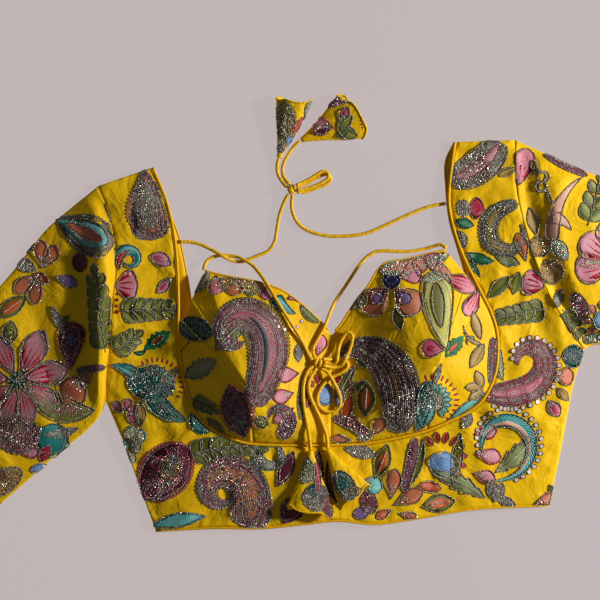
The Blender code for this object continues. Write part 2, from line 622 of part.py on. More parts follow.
def build():
    """Makes the whole blouse."""
    for obj in list(bpy.data.objects):
        bpy.data.objects.remove(obj)
    silk = material("yellow_silk", YELLOW)
    silk_shade = material("yellow_silk_back", YELLOW_SHADE)
    piping = material("yellow_piping", PIPING_YELLOW, 0.45)
    cord = material("yellow_cord", CORD_YELLOW, 0.45)
    latkan_cloth = material("latkan_cloth", LATKAN_GREEN, 0.6)
    body_panels(silk, silk_shade)
    cups(silk)
    for side in SLEEVES:
        sleeve(side, silk, piping)
    pipings(piping)
    ties(cord, latkan_cloth)


build()
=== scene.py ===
import math
import random

import bmesh
import bpy
import numpy as np
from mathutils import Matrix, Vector, noise
from mathutils.bvhtree import BVHTree


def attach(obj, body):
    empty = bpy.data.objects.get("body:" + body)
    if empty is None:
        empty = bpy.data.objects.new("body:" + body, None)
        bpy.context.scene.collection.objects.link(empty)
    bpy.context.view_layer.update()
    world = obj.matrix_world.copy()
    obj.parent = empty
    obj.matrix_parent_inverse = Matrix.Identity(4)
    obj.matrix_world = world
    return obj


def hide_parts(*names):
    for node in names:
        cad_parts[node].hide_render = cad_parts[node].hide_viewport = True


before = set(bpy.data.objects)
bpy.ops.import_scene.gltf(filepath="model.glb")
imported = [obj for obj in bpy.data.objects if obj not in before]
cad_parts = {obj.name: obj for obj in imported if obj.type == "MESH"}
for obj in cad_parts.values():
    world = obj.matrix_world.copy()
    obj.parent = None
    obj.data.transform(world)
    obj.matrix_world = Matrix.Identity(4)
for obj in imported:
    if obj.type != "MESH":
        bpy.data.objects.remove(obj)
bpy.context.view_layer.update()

# ---------------------------------------------------------------- sizes
# The garment's own tables are in millimetres, in the frame they were measured in, and go to metres as each
# mesh is made.

noise.seed_set(7)                        # so that the rumples are the same each time
MM = 0.001
CENTRE = Vector((0.7, -1.25, 0.0))       # the middle of the laid-out garment in the tables' frame
GAP = 0.3                                # between neighbouring pieces at a seam
CUP_GAP = 0.05                           # between the pieces of the cups

CLOTH = 1.5                              # wall of the lined silk
PADDING = 3.5                            # wall of the moulded cups
APEX_HEIGHT = 42.0
DOME_POWER = 2.2                         # how quickly a cup rises from its rim
VALLEY = 60.0                            # how far the soft rise beside the V reaches
APEX_PART = 0.05                         # how far the two pieces of a cup stop short of its apex
CUP_RISE = 0.8
SEAM_STEP = 0.006                        # in sections, between the cups' pieces along the neck seam
SEAM_ROLL = 0.7                          # how far a panel's edge turns down into its seam
SEAM_REACH = 2.2                         # over this width

SEAM_PIPING = 1.4                        # radii of the pipings
EDGE_PIPING = 1.1
HEM_PIPING = 1.1
BACK_PIPING = 0.9

CORD = 3.4                               # diameter of the rolled silk ties
SLEEVE_FOLD = 3.6
LATKAN_WALL = 1.2
LATKAN_TIP = 2.6
LOBE_SPREAD = 32                         # degrees round the mouth

# Meshes: steps in a section and across the panel, points round and along a sleeve and a latkan, and others.
FRONT_GRID, BACK_GRID = (14, 27), (6, 13)
SLEEVE_GRID, LATKAN_GRID = (44, 60), (40, 26)
CUP_ROWS = 26
SEAM_STEPS = 8                           # in a section, along seams and pipings
TIE_STEP = 1.6
TIE_SIDES, KNOT_SIDES, PIPING_SIDES = 12, 10, 8

# The lie of the silk: how much of the creases it takes, and the size and depth of its rumples.
FRONT_CREASE, SLEEVE_CREASE = 1.5, 1.3
FRONT_RUMPLE, SLEEVE_RUMPLE, CUP_RUMPLE = (30, 2.2), (38, 2.8), (34, 1.3)

SECTIONS = [
    ("shoulder left",  -176,  159,  4.5, -228,  141,  5.0,  1.0, -177,  158),
    ("strap left",     -163,  128,  6.0, -219,  121,  9.0,  2.0, -166,  128),
    ("chest left",     -155,   93,  8.0, -212,   92, 12.0,  1.5, -152,   93),
    ("corner left",    -152,   62, 11.0, -210,   62, 13.0,  0.5, -146,   66),
    ("cup left top",   -151,   30, 13.0, -214,   28, 13.0,  0.0, -141,   36),
    ("cup left",       -151,    0, 14.0, -216,  -10, 12.0, -1.0, -138,    4),
    ("cup left low",   -149,  -26, 14.0, -219,  -38, 10.0,  0.0, -134,  -20),
    ("underarm left",  -144,  -50, 13.5, -220,  -63,  6.0,  2.0, -127,  -40),
    ("side left",      -138,  -68, 12.5, -203, -103,  5.0,  2.0, -116,  -56),
    ("waist left",     -126,  -84, 12.0, -189, -142,  4.5,  2.0, -102,  -68),
    ("hem left",       -110,  -94, 11.5, -173, -185,  4.2,  2.0,  -84,  -76),
    ("band 1",          -88, -102, 11.2, -117, -182,  8.5,  1.5,  -66,  -80),
    ("band 2",          -63, -104, 11.2,  -72, -182, 10.0,  1.0,  -46,  -83),
    ("band 3",          -36, -104, 11.2,  -31, -178, 10.5,  0.5,  -22,  -85),
    ("centre front",     -7, -104, 11.2,    0, -175, 10.5,  0.5,    0,  -85),
    ("band 5",           23, -103, 11.2,   32, -178, 10.5,  0.5,   22,  -84),
    ("band 6",           53,  -98, 11.5,   73, -173, 10.0,  1.0,   44,  -80),
    ("band 7",           82,  -91, 12.0,  121, -165,  8.5,  1.5,   64,  -73),
    ("hem right",       106,  -81, 12.5,  200, -161,  4.2,  2.0,   82,  -62),
    ("waist right",     124,  -72, 13.0,  208, -126,  4.5,  2.0,   96,  -50),
    ("side right",      136,  -62, 13.5,  217,  -79,  5.0,  2.0,  107,  -38),
    ("side right top",  143,  -51, 14.0,  223,  -48,  5.5,  2.0,  115,  -24),
    ("underarm right",  148,  -38, 14.5,  233,  -14,  6.0,  1.0,  121,   -8),
    ("cup right low",   151,  -16, 15.0,  220,    4, 10.0,  0.0,  124,   12),
    ("cup right",       150,    4, 15.0,  207,   25, 12.0, -1.0,  125,   30),
    ("cup right top",   144,   23, 14.0,  195,   48, 13.0, -1.0,  124,   46),
    ("corner right",    136,   39, 13.0,  185,   73, 13.0,  0.0,  121,   60),
    ("chest right",     125,   61, 11.0,  176,  106, 12.0,  1.0,  114,   84),
    ("chest right top", 114,   87,  9.0,  169,  138, 11.0,  1.5,  107,  108),
    ("strap right",     105,  128,  7.0,  168,  163,  9.0,  2.0,  103.5, 140),
    ("strap right top", 107,  153,  5.5,  168,  175,  7.0,  1.5,  103.5, 166),
    ("shoulder right",  111,  183,  4.5,  168,  185,  5.0,  1.0,  111,  182),
]
ROW = {row[0]: i for i, row in enumerate(SECTIONS)}
LAST = len(SECTIONS) - 1
CORNERS = [ROW[name] for name in ("underarm left", "hem left", "hem right", "underarm right")]
SEAM = [Vector(row[1:4]) for row in SECTIONS]
EDGE = [Vector(row[4:7]) for row in SECTIONS]
SWELL = [row[7] for row in SECTIONS]
BACK_NECK = [Vector((row[8], row[9], CLOTH)) for row in SECTIONS]

# The band's largest folds, from the cups' seam down: section, depth, half width in sections, top weight.
BAND_FOLDS = [
    (10.7, 1.2, 0.35, 0.6),
    (12.1, 1.6, 0.30, 1.0),
    (13.2, 1.2, 0.25, 0.7),
    (15.3, 1.4, 0.30, 0.8),
    (16.6, 1.2, 0.35, 0.5),
]

CUPS = {
    "left": {
        "apex": (-84, -48), "side_row": 4.5, "seam_row": 11.28,
        "side": [(-146, 14, 13), (-138, 35, 12)],
        "corner": (-126, 60, 9),
        "edge": [(-110, 56, 11), (-88, 52, 14), (-70, 48, 16), (-54, 42, 17),
                 (-39, 32, 16), (-26, 21, 14), (-14, 9, 12)],
    },
    "right": {
        "apex": (91, -33), "side_row": 26.2, "seam_row": 17.12,
        "side": [(137, 31, 14), (122, 56, 12.5)],
        "corner": (102, 80, 9),
        "edge": [(84, 76, 11), (63, 71, 14), (44, 67, 16), (28, 45, 17),
                 (18, 33, 15), (9, 19, 13), (1, 7, 12)],
    },
}
SWEETHEART = (-6, 0, 11)
CENTRE_DIP = (-6.5, -52, 13)

SLEEVES = {
    "left": {
        "armhole": (ROW["shoulder left"], ROW["underarm left"]),
        "upper": [(-253, 121), (-277, 100), (-294, 79), (-315, 53), (-350, 17), (-390, -24), (-428, -64)],
        "lower": [(-227, -78), (-238, -90), (-264, -111), (-291, -135), (-321, -161)],
    },
    "right": {
        "armhole": (ROW["shoulder right"], ROW["underarm right"]),
        "upper": [(193, 174), (218, 162), (249, 150), (287, 134), (334, 112), (382, 88), (429, 64)],
        "lower": [(241, -10), (251, -9), (273, -16), (301, -31), (334, -50), (366, -68)],
    },
}
SLEEVE_CROWNS = {
    "left": [(0.0, 17), (0.04, 23), (0.09, 24), (0.17, 11), (0.42, 3.8), (0.5, 9), (0.75, 5), (0.85, 9),
             (1.0, 7)],
    "right": [(0.0, 12), (0.03, 9), (0.14, 18), (0.36, 11), (0.6, 14), (1.0, 12)],
}
ARMHOLE_BLEND = 0.05

# Latkans: tip, middle of the mouth, half width and height of the mouth, height of the undersides, and the
# mouth's lobes as (turn round the mouth in degrees, how much further the cloth reaches there).
LATKANS = {
    "latkan_back_left": {
        "tip": (-56, 168), "mouth": (-41, 222), "half": 17, "tall": 15, "under": (0.4, 0.4),
        "lobes": [(20, -4), (90, -2), (160, 4), (270, -4)]},
    "latkan_back_right": {
        "tip": (-35, 185), "mouth": (17, 208), "half": 24, "tall": 13, "under": (0.4, 0.4),
        "lobes": [(10, -9), (80, 3), (130, 4), (185, -4), (270, -5)]},
    "latkan_front_left": {
        "tip": (-26, -109), "mouth": (-27, -165), "half": 22, "tall": 12, "under": (12.6, 12.8),
        "lobes": [(20, 6), (90, 2), (160, -5), (270, -6)]},
    "latkan_front_right": {
        "tip": (-10, -108), "mouth": (14, -152), "half": 18, "tall": 13, "under": (12.6, 13.0),
        "lobes": [(20, -4), (90, 2), (165, 5), (270, -6)]},
}
LATKAN_SECTIONS = [(0.0, 0.0), (0.12, 0.10), (0.4, 0.38), (0.75, 0.80), (1.0, 1.0)]

KNOTS = {"knot_back": ((-44, 138, 5.4), 5.0), "knot_front": ((-19, -26, 20.4), 4.6)}

# The ties' routes, point by point along the middle of the cord: x y z.
ROUTES = {
    "tie_back_left": [
        (-150, 88.6, 3.0), (-141, 88.4, 2.0), (-131, 86.2, 2.0), (-121, 81.5, 3.4), (-115, 78.4, 5.4),
        (-110, 75.4, 6.0), (-104.5, 72.4, 4.6), (-99, 70.3, 2.6), (-92, 69.6, 2.0), (-86, 71.4, 2.0),
        (-76, 75.5, 2.0), (-66, 80.0, 2.0), (-60.5, 88, 2.0), (-58, 100, 2.0), (-56, 112, 2.0),
        (-52.5, 123, 2.6), (-49.5, 129.5, 3.8), (-47.2, 133.5, 5.0)],
    "tie_back_right": [
        (102.2, 124.8, 2.0), (94, 123.6, 2.0), (87, 122, 2.0), (75, 117.7, 2.0), (64, 113, 2.0),
        (52, 107.5, 2.0), (40, 102, 2.0), (31, 98, 2.0), (20, 95.2, 2.0), (7, 94, 2.0), (-5, 93.8, 2.0),
        (-16, 95.2, 2.0), (-27, 98.5, 2.0), (-36.5, 104.5, 2.0), (-42, 113.5, 2.0), (-44, 121, 2.5),
        (-44, 127, 3.6), (-43.4, 132.5, 5.0)],
    "bow_back_low": [
        (-39.2, 140.8, 4.3), (-35, 142.2, 2.6), (-28, 145, 2.0), (-20.5, 149, 2.0), (-14, 152, 2.0),
        (-8.8, 152.2, 2.0), (-6.8, 148.4, 2.0), (-9.6, 144.2, 2.0), (-17.5, 140.6, 2.0), (-26, 137.6, 2.0),
        (-33, 135.6, 2.6), (-38.7, 135.8, 4.3)],
    "bow_back_high": [
        (-39.6, 142.0, 8.9), (-35.5, 143.8, 7.4), (-28, 147.4, 6.2), (-20.5, 152, 5.8), (-14.5, 155.2, 5.7),
        (-9.8, 154.2, 5.7), (-9.2, 149.4, 5.7), (-15, 145, 5.7), (-23, 141.2, 5.9), (-30.5, 138.6, 6.8),
        (-35.5, 137.6, 7.8), (-38.8, 137.5, 8.9)],
    "tail_back_left": [
        (-48.9, 140.5, 5.0), (-52, 144.2, 3.2), (-55.6, 149.6, 2.3), (-57.6, 156, 2.2), (-57.6, 162, 2.6),
        (-56.2, 167.2, 3.0)],
    "tail_back_right": [
        (-46, 143.0, 5.0), (-49.2, 146.8, 3.4), (-52, 151.6, 2.3), (-52.8, 157, 2.0), (-51.6, 163, 2.0),
        (-47.6, 170.6, 2.0), (-42.6, 178, 2.0), (-39.4, 181.4, 2.4), (-36.1, 184.2, 3.0)],
    "tie_front_left": [
        (-127.3, 62, 7.0), (-125.5, 68.5, 4.6), (-120, 73.4, 2.4), (-114.5, 75.2, 2.0), (-110, 75.6, 2.0),
        (-104.5, 75.3, 2.0), (-98.5, 74.8, 2.6), (-92.5, 73.0, 4.6), (-87, 70.2, 6.2), (-81.5, 66.4, 7.4),
        (-75, 59.2, 12.5), (-69, 51, 18.4), (-63.5, 42.2, 22.4), (-58, 33, 24.9), (-46, 14, 25.8),
        (-35, -4, 23.3), (-30.5, -12.5, 21.4), (-27.3, -19.4, 20.4), (-24.4, -24.3, 20.4)],
    "tie_front_right": [
        (102.6, 82.4, 7.6), (98, 85.6, 5.8), (91, 84.2, 3.8), (84, 82.2, 2.4), (76, 80.6, 2.0),
        (68, 79.4, 2.0), (56, 79.4, 2.0), (45, 80, 2.0), (36.5, 79.2, 2.0), (29, 75.4, 2.0), (20, 66, 2.0),
        (10, 51, 2.0), (4, 42, 2.4), (-2, 33, 4.2), (-7, 23, 8.6), (-10, 15, 12.6), (-12.8, 8, 14.9),
        (-17.5, -0.5, 16.6), (-21.5, -7.5, 18.0), (-23.8, -13, 19.2), (-23.4, -18, 20.2),
        (-21.6, -21.4, 20.5)],
    "bow_front_drop": [
        (-14.5, -22.5, 21.9), (-10, -22.6, 19.4), (-4.5, -22.8, 16.2), (1, -23.0, 15.0), (5.5, -23.6, 15.4),
        (8.8, -26.2, 16.0), (8.8, -30.2, 16.1), (5.4, -33.8, 16.0), (0, -36.8, 15.6), (-6, -39.6, 15.1),
        (-11.2, -43.6, 15.8), (-16, -49.4, 17.4), (-19.4, -57, 18.4), (-19.4, -63.8, 18.3),
        (-15.8, -69.2, 17.0),
        (-9, -72.4, 15.7), (-2.6, -71.6, 15.7), (1.4, -67, 16.1), (2.2, -61, 16.5), (0.8, -55, 16.3),
        (-2, -48.4, 17.0), (-5, -42.8, 18.6), (-7.6, -38.4, 19.0), (-10.4, -34.8, 18.4), (-13.4, -32.2, 18.2),
        (-16.6, -30.6, 19.0)],
    "bow_front_rise": [
        (-13.3, -25.6, 18.8), (-8.6, -26.4, 17.6), (-4, -26.8, 17.8), (-1.6, -24.6, 19.4), (-0.6, -20, 18.8),
        (0, -14.5, 15.8), (1.6, -8, 15.0), (4.2, -2.6, 15.4), (8.6, 2.8, 16.4), (12.8, 1.2, 16.8),
        (13.0, -5.6, 16.6), (11.2, -12.5, 16.6), (9.0, -18.2, 17.2), (6.8, -22.8, 19.2), (4.6, -26.6, 18.8),
        (1.2, -29.4, 17.2), (-3, -30.2, 17.2), (-7.4, -30.0, 18.6), (-11, -29.2, 20.4), (-14.0, -28.6, 22.0)],
    "tail_front_left": [
        (-23.6, -28.4, 20.4), (-27.6, -32.4, 21.2), (-31, -39, 22.8), (-33, -48, 24.0), (-33, -60, 23.8),
        (-32, -70, 23.0), (-30.2, -80, 21.8), (-28.4, -90, 20.2), (-27.2, -98, 17.8), (-26.4, -104, 15.9),
        (-26.0, -108.2, 15.2)],
    "tail_front_right": [
        (-20.3, -31.1, 20.6), (-23.6, -35.4, 20.8), (-26.6, -41, 21.2), (-28, -48, 21.8), (-27.4, -54, 21.5),
        (-25, -61, 20.6), (-19, -74, 18.0), (-14, -86, 16.3), (-11, -95, 15.5), (-10.2, -101, 15.2),
        (-10.0, -107.2, 15.2)],
}
# How long each tie, loop or tail is in metres, what it ends in, and the pieces on it.
CORD_ENDS = {
    "tie_back_left": (0.149, "knot", ["bow_knot_back"]),
    "tie_back_right": (0.177, "object", []),
    "bow_back_low": (0.074, "object", []),
    "bow_back_high": (0.072, "object", []),
    "tail_back_left": (0.030, "fitting", ["latkan_cone_back_left"]),
    "tail_back_right": (0.049, "fitting", ["latkan_cone_back_right"]),
    "tie_front_left": (0.169, "knot", ["bow_knot_front"]),
    "tie_front_right": (0.195, "object", []),
    "bow_front_drop": (0.148, "object", []),
    "bow_front_rise": (0.100, "object", []),
    "tail_front_left": (0.084, "fitting", ["latkan_cone_front_left"]),
    "tail_front_right": (0.082, "fitting", ["latkan_cone_front_right"]),
}

# Creases laid into the silk: middle x y, direction in degrees, length, half width, depth (a ridge is
# below zero).
CREASES = [
    # broad valleys beside the neck seam
    (-172, 30, 93, 190, 13, 1.9), (-170, -110, 60, 150, 14, 1.4), (182, 0, 84, 200, 17, 2.2),
    (140, 110, 93, 150, 12, 1.8), (-30, -146, 4, 300, 14, -0.9),
    # left strap and side
    (-185, 118, 75, 46, 5, 0.9), (-200, 104, 100, 40, 6, -0.8), (-176, 78, 60, 34, 5, 0.8),
    (-192, 60, 25, 36, 5, 0.9), (-172, 34, 110, 40, 6, -0.7), (-198, 20, 70, 34, 5, 0.9),
    (-188, -20, 35, 40, 6, 1.0), (-172, -48, 60, 38, 5, -0.8), (-196, -60, 20, 34, 5, 1.0),
    (-176, -92, 30, 36, 5, 0.9), (-160, -124, 60, 46, 6, -0.9), (-150, -150, 30, 40, 5, 0.8),
    # hem band
    (-128, -126, 70, 44, 6, 0.9), (-104, -150, 95, 44, 5, 0.8), (-84, -128, 80, 34, 4, -0.7),
    (-60, -122, 95, 30, 4, 0.9), (-46, -142, 85, 40, 5, -0.8), (-38, -160, 100, 30, 4, 0.7),
    (20, -120, 80, 34, 4, 0.8), (34, -140, 100, 40, 5, -0.7), (66, -118, 95, 34, 4, 0.8),
    (88, -138, 85, 44, 5, 0.8), (112, -112, 80, 44, 6, 1.0), (136, -118, 95, 50, 6, -0.9),
    (156, -128, 85, 44, 5, 0.8), (178, -112, 80, 46, 6, 0.9), (196, -90, 75, 40, 5, -0.8),
    # right side and strap
    (190, -62, 110, 46, 6, 0.9), (176, -30, 60, 40, 6, -0.8), (200, -14, 30, 34, 5, 0.9),
    (170, 6, 60, 46, 7, 1.3), (182, 34, 70, 40, 6, -0.9), (156, 30, 65, 44, 5, 0.8),
    (160, 66, 95, 46, 6, 1.1), (140, 84, 85, 46, 6, -0.9), (152, 112, 80, 44, 5, 0.9),
    (128, 120, 95, 40, 5, 0.8), (140, 146, 70, 36, 5, -0.8), (120, 160, 100, 34, 4, 0.7),
    # left sleeve, whose head sinks away from the armhole
    (-236, 84, 78, 60, 9, 1.8), (-240, 40, 84, 70, 10, 2.4), (-238, -8, 92, 60, 9, 1.6),
    (-262, 66, 60, 60, 8, -1.2), (-270, 20, 70, 60, 8, -1.0), (-258, -40, 35, 50, 7, 1.2),
    (-286, -12, 60, 70, 8, 1.2), (-302, 40, 55, 60, 7, 0.9), (-310, -70, 40, 60, 8, 1.0),
    (-330, -30, 65, 60, 8, -0.9), (-350, -90, 45, 60, 7, 0.8), (-380, -60, 50, 60, 7, 0.8),
    (-278, -84, 30, 50, 6, -0.9), (-246, -66, 40, 34, 5, 1.0),
    # right sleeve
    (184, 150, 100, 50, 6, 1.2), (192, 110, 110, 60, 8, 1.6), (204, 60, 120, 60, 8, 1.5),
    (222, 122, 115, 60, 8, -1.1), (236, 70, 120, 60, 8, -1.0), (228, 24, 60, 44, 6, 1.3),
    (258, 100, 110, 60, 8, 1.0), (270, 40, 80, 56, 8, 1.1), (300, 90, 110, 60, 8, -0.8),
    (316, 20, 70, 60, 8, 0.9), (350, 50, 110, 60, 8, 0.8), (390, 30, 100, 50, 7, 0.8),
    # cups
    (-120, 24, 20, 40, 5, 0.9), (-126, -4, 40, 44, 6, 0.8), (-112, -70, 60, 30, 5, 0.7),
    (-40, 10, 35, 40, 5, 0.7), (-36, -60, 60, 36, 5, 0.6), (-60, 44, 160, 40, 5, 0.6),
    (40, 20, 150, 44, 6, 0.8), (60, 30, 120, 40, 6, 0.7), (30, -10, 110, 40, 6, 0.6),
    (110, 30, 80, 40, 5, 0.6), (24, -70, 100, 34, 5, 0.6), (120, -30, 60, 40, 5, 0.6),
]


# ---------------------------------------------------------------- curves and panels

def curve_point(points, at, corners=()):
    """A point of a smooth curve through the points, where at counts points; it is sharp at the corners."""
    i = min(int(at), len(points) - 2)
    t = at - i
    start, end = points[i], points[i + 1]
    length = (end - start).length
    chord = (end - start) / length

    def slope(j):
        """The curve's direction at point j, inside the stretch i to i + 1."""
        other = j - 1 if j == i else j + 1
        if j in corners or not 0 <= other < len(points):
            return chord
        reach = (points[other] - points[j]).length
        across = (points[other] - points[j]) / reach * (1 if other > j else -1)
        return (chord * reach + across * length) / (reach + length)

    blend = t * t * (3 - 2 * t)
    return (start.lerp(end, blend) + slope(i) * (length * t * (1 - t) ** 2)
            + slope(i + 1) * (length * t * t * (t - 1)))


def even_points(points, count):
    """Points at even steps along the smooth curve through the given ones, with both ends."""
    fine = [curve_point(points, k * (len(points) - 1) / 400) for k in range(401)]
    along = [0.0]
    for a, b in zip(fine, fine[1:]):
        along.append(along[-1] + (b - a).length)
    out, k = [], 0
    for step in range(count):
        target = along[-1] * step / (count - 1)
        while k < 399 and along[k + 1] < target:
            k += 1
        part = (target - along[k]) / max(along[k + 1] - along[k], 1e-9)
        out.append(fine[k].lerp(fine[k + 1], min(part, 1.0)))
    return out


def table_value(rows, at):
    """A straight-line reading of rows of (place, value)."""
    for (a, low), (b, high) in zip(rows, rows[1:]):
        if at <= b:
            return low + (high - low) * (at - a) / (b - a)
    return rows[-1][1]


def relief(points, creases):
    """How far the creases lift or sink each of the points (an array of x y), in millimetres."""
    rise = np.zeros(len(points))
    for x, y, turn, length, width, depth in creases:
        a = math.radians(turn)
        off = points - (x, y)
        along = (off[:, 0] * math.cos(a) + off[:, 1] * math.sin(a)) / (length / 2)
        across = -off[:, 0] * math.sin(a) + off[:, 1] * math.cos(a)
        across = (across - 0.12 * length * along * along) / width
        fade = np.clip(1 - along * along, 0, None) ** 2
        rise -= depth * fade * np.exp(-across * across)
    return rise


def rumple(points, size, depth):
    """The uneven lie of soft silk: rounded swells with sharper folds between them, in millimetres."""
    rise = []
    for x, y in points:
        place = Vector((x / size, y / size, 0.37 * size))
        swell = 1 - 2.2 * abs(noise.noise(place + Vector((0, 0, 9)) + noise.noise_vector(place * 0.7) * 0.5))
        rise.append(depth * (swell - 0.5) + 0.3 * depth * noise.noise(place * 2.6))
    return np.array(rise)


def puckers(path, inward, spacing, length, depth, seed):
    """Small uneven gathers that run in from a seam, as rows for relief; inward is the way in at each point."""
    draw = random.Random(seed)
    rows, along, due = [], 0.0, spacing
    for k in range(1, len(path)):
        along += (path[k] - path[k - 1]).length
        if along < due:
            continue
        due = along + spacing * draw.uniform(0.6, 1.5)
        way = inward[k]
        long = length * draw.uniform(0.5, 1.3)
        turn = math.degrees(math.atan2(way.y, way.x)) + draw.uniform(-14, 14)
        middle = path[k] + way * (long * 0.36)
        rows.append((middle.x, middle.y, turn, long, spacing * draw.uniform(0.2, 0.34),
                     depth * draw.uniform(0.5, 1.3)))
    return rows


def mesh_piece(name, verts, faces, finish, smooth=True):
    """A mesh piece from points in the tables' frame."""
    mesh = bpy.data.meshes.new(name)
    mesh.from_pydata((np.array(verts) - np.array(CENTRE)) * MM, [], faces)
    mesh.materials.append(finish)
    if smooth:
        mesh.shade_smooth()
    obj = bpy.data.objects.new(name, mesh)
    bpy.context.scene.collection.objects.link(obj)
    return obj


def outward_faces(obj):
    """Turns the faces of a closed piece outwards."""
    work = bmesh.new()
    work.from_mesh(obj.data)
    bmesh.ops.recalc_face_normals(work, faces=work.faces)
    work.to_mesh(obj.data)
    work.free()


ABOVE = 200.0                            # a height above every panel
STEEPEST = 0.12                          # a face that stands steeper carries no embroidery
BESIDE = 0.7                             # how far off a panel's edge embroidery still lands


class Ground:
    """The upper surface of a panel, or of panels that meet, onto which embroidery is laid."""

    def __init__(self, *surfaces):
        self.trees = [BVHTree.FromPolygons(verts, faces) for verts, faces in surfaces]

    def join(self, other):
        """Adds another panel's surface."""
        self.trees += other.trees
        return self

    def under(self, x, y):
        """The highest point at a place in plan, and its normal, or None outside the panel."""
        best = None
        for tree in self.trees:
            spot, normal, _, _ = tree.ray_cast(Vector((x, y, ABOVE)), Vector((0, 0, -1)))
            if spot is not None and abs(normal.z) > STEEPEST and (best is None or spot.z > best[0].z):
                best = (spot, normal if normal.z > 0 else -normal)
        return best

    def land(self, places):
        """Points and normals under the places, and which of them are on the panel. A place off the panel, or
        over the gap of a seam, goes to the panel's nearest point."""
        spots, normals, inside = [], [], []
        high = 10.0
        for x, y in places:
            hit = self.under(x, y)
            inside.append(hit is not None)
            if hit is None:
                near = [tree.find_nearest(Vector((x, y, high))) for tree in self.trees]
                spot, normal, _, _ = min(near, key=lambda found: found[3])
                hit = (spot, normal if normal.z > 0 else -normal)
                inside[-1] = math.hypot(spot.x - x, spot.y - y) < BESIDE
            high = hit[0].z
            spots.append(hit[0])
            normals.append(hit[1])
        return np.array(spots), np.array(normals), np.array(inside)


def grid_faces(rows, across):
    """The quads of a grid of points, row by row."""
    return [(i * across + j, i * across + j + 1, (i + 1) * across + j + 1, (i + 1) * across + j)
            for i in range(rows - 1) for j in range(across - 1)]


def hoop_faces(rings, sides):
    """The quads of a tube of points, ring by ring."""
    return [(i + j, i + (j + 1) % sides, i + sides + (j + 1) % sides, i + sides + j)
            for i in range(0, (rings - 1) * sides, sides) for j in range(sides)]


def shell(name, rows, wall, finish, tip=None):
    """A closed cloth panel: a grid of top points (an array), closed on a tip if there is one, and the same
    grid lowered by the wall. Returns the piece and its ground."""
    count, across = rows.shape[:2]
    top = rows.reshape(-1, 3)
    faces = grid_faces(count, across)
    rim = ([j for j in range(across)] + [i * across + across - 1 for i in range(1, count)])
    if tip is None:
        rim += [(count - 1) * across + j for j in range(across - 2, -1, -1)]
        rim += [i * across for i in range(count - 2, 0, -1)]
    else:
        top = np.vstack([top, [tip]])
        last = (count - 1) * across
        faces += [(last + j, last + j + 1, count * across) for j in range(across - 1)]
        rim += [count * across] + [i * across for i in range(count - 1, 0, -1)]
    under = len(top)
    verts = np.vstack([top, top - (0, 0, wall)])
    every = faces + [tuple(under + k for k in reversed(face)) for face in faces]
    every += [(b, a, under + a, under + b) for a, b in zip(rim, rim[1:] + rim[:1])]
    obj = mesh_piece(name, verts, every, finish)
    outward_faces(obj)
    return obj, Ground(([Vector(v) for v in top], faces))


def tube_points(points, radius, sides, closed, wobble):
    """The rings of a tube round a path, with no twist."""
    draw = random.Random(1)
    rings, across = [], None
    count = len(points)
    for k, here in enumerate(points):
        before = points[(k - 1) % count if closed else max(k - 1, 0)]
        after = points[(k + 1) % count if closed else min(k + 1, count - 1)]
        along = (after - before).normalized()
        if across is None:
            across = Vector((0, 0, 1)).cross(along)
            if across.length < 0.1:
                across = Vector((1, 0, 0))
        across = (across - along * across.dot(along)).normalized()
        up = along.cross(across)
        size = radius * (1 + wobble * draw.uniform(-1, 1))
        rings.append([here + across * (size * math.cos(2 * math.pi * j / sides))
                      + up * (size * math.sin(2 * math.pi * j / sides)) for j in range(sides)])
    return rings


def tube_piece(name, paths, radius, sides, finish, closed=False, wobble=0.0):
    """Round cords or pipings along paths, as one mesh, with a UV of (millimetres along, share of a turn)."""
    verts, faces, uvs = [], [], []
    for path in paths:
        rings = tube_points(path, radius, sides, closed, wobble)
        start = len(verts)
        verts += [p for ring in rings for p in ring]
        along = [0.0]
        for a, b in zip(path, path[1:]):
            along.append(along[-1] + (b - a).length)
        if closed:
            along.append(along[-1] + (path[0] - path[-1]).length)
        for i in range(len(rings) if closed else len(rings) - 1):
            for j in range(sides):
                ahead, beside = (i + 1) % len(rings), (j + 1) % sides
                faces.append(tuple(start + r * sides + c for r, c in
                                   ((i, j), (i, beside), (ahead, beside), (ahead, j))))
                low, high = j / sides, (j + 1) / sides
                uvs += [(along[i], low), (along[i], high), (along[i + 1], high), (along[i + 1], low)]
        if not closed:
            for ring, turned in ((0, True), (len(rings) - 1, False)):
                cap = [start + ring * sides + j for j in range(sides)]
                faces.append(tuple(reversed(cap)) if turned else tuple(cap))
                uvs += [(along[ring], 0.5)] * sides
    obj = mesh_piece(name, verts, faces, finish)
    layer = obj.data.uv_layers.new(name="UVMap")
    layer.data.foreach_set("uv", np.array(uvs, dtype=np.float32).ravel())
    outward_faces(obj)
    return obj


def settle(piece, nodes):
    """Every piece rides on the one body and stands for its nodes."""
    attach(piece, "root")
    if nodes:
        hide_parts(*nodes)
    return piece


def outward(i):
    """The direction in plan from the neck seam to the outer edge at a section."""
    flat = curve_point(EDGE, i, CORNERS) - curve_point(SEAM, i)
    flat.z = 0
    return flat.normalized()


def band_fold(i, v):
    """How deep the band's folds are at section i, where v runs from the neck seam to the outer edge."""
    depth = 0.0
    for place, deep, half, at_top in BAND_FOLDS:
        near = max(0.0, 1.0 - ((i - place) / half) ** 2)
        depth += deep * near * near * (at_top + (0.5 - at_top) * v) * min(1.0, 8 * v, 8 * (1 - v))
    return depth


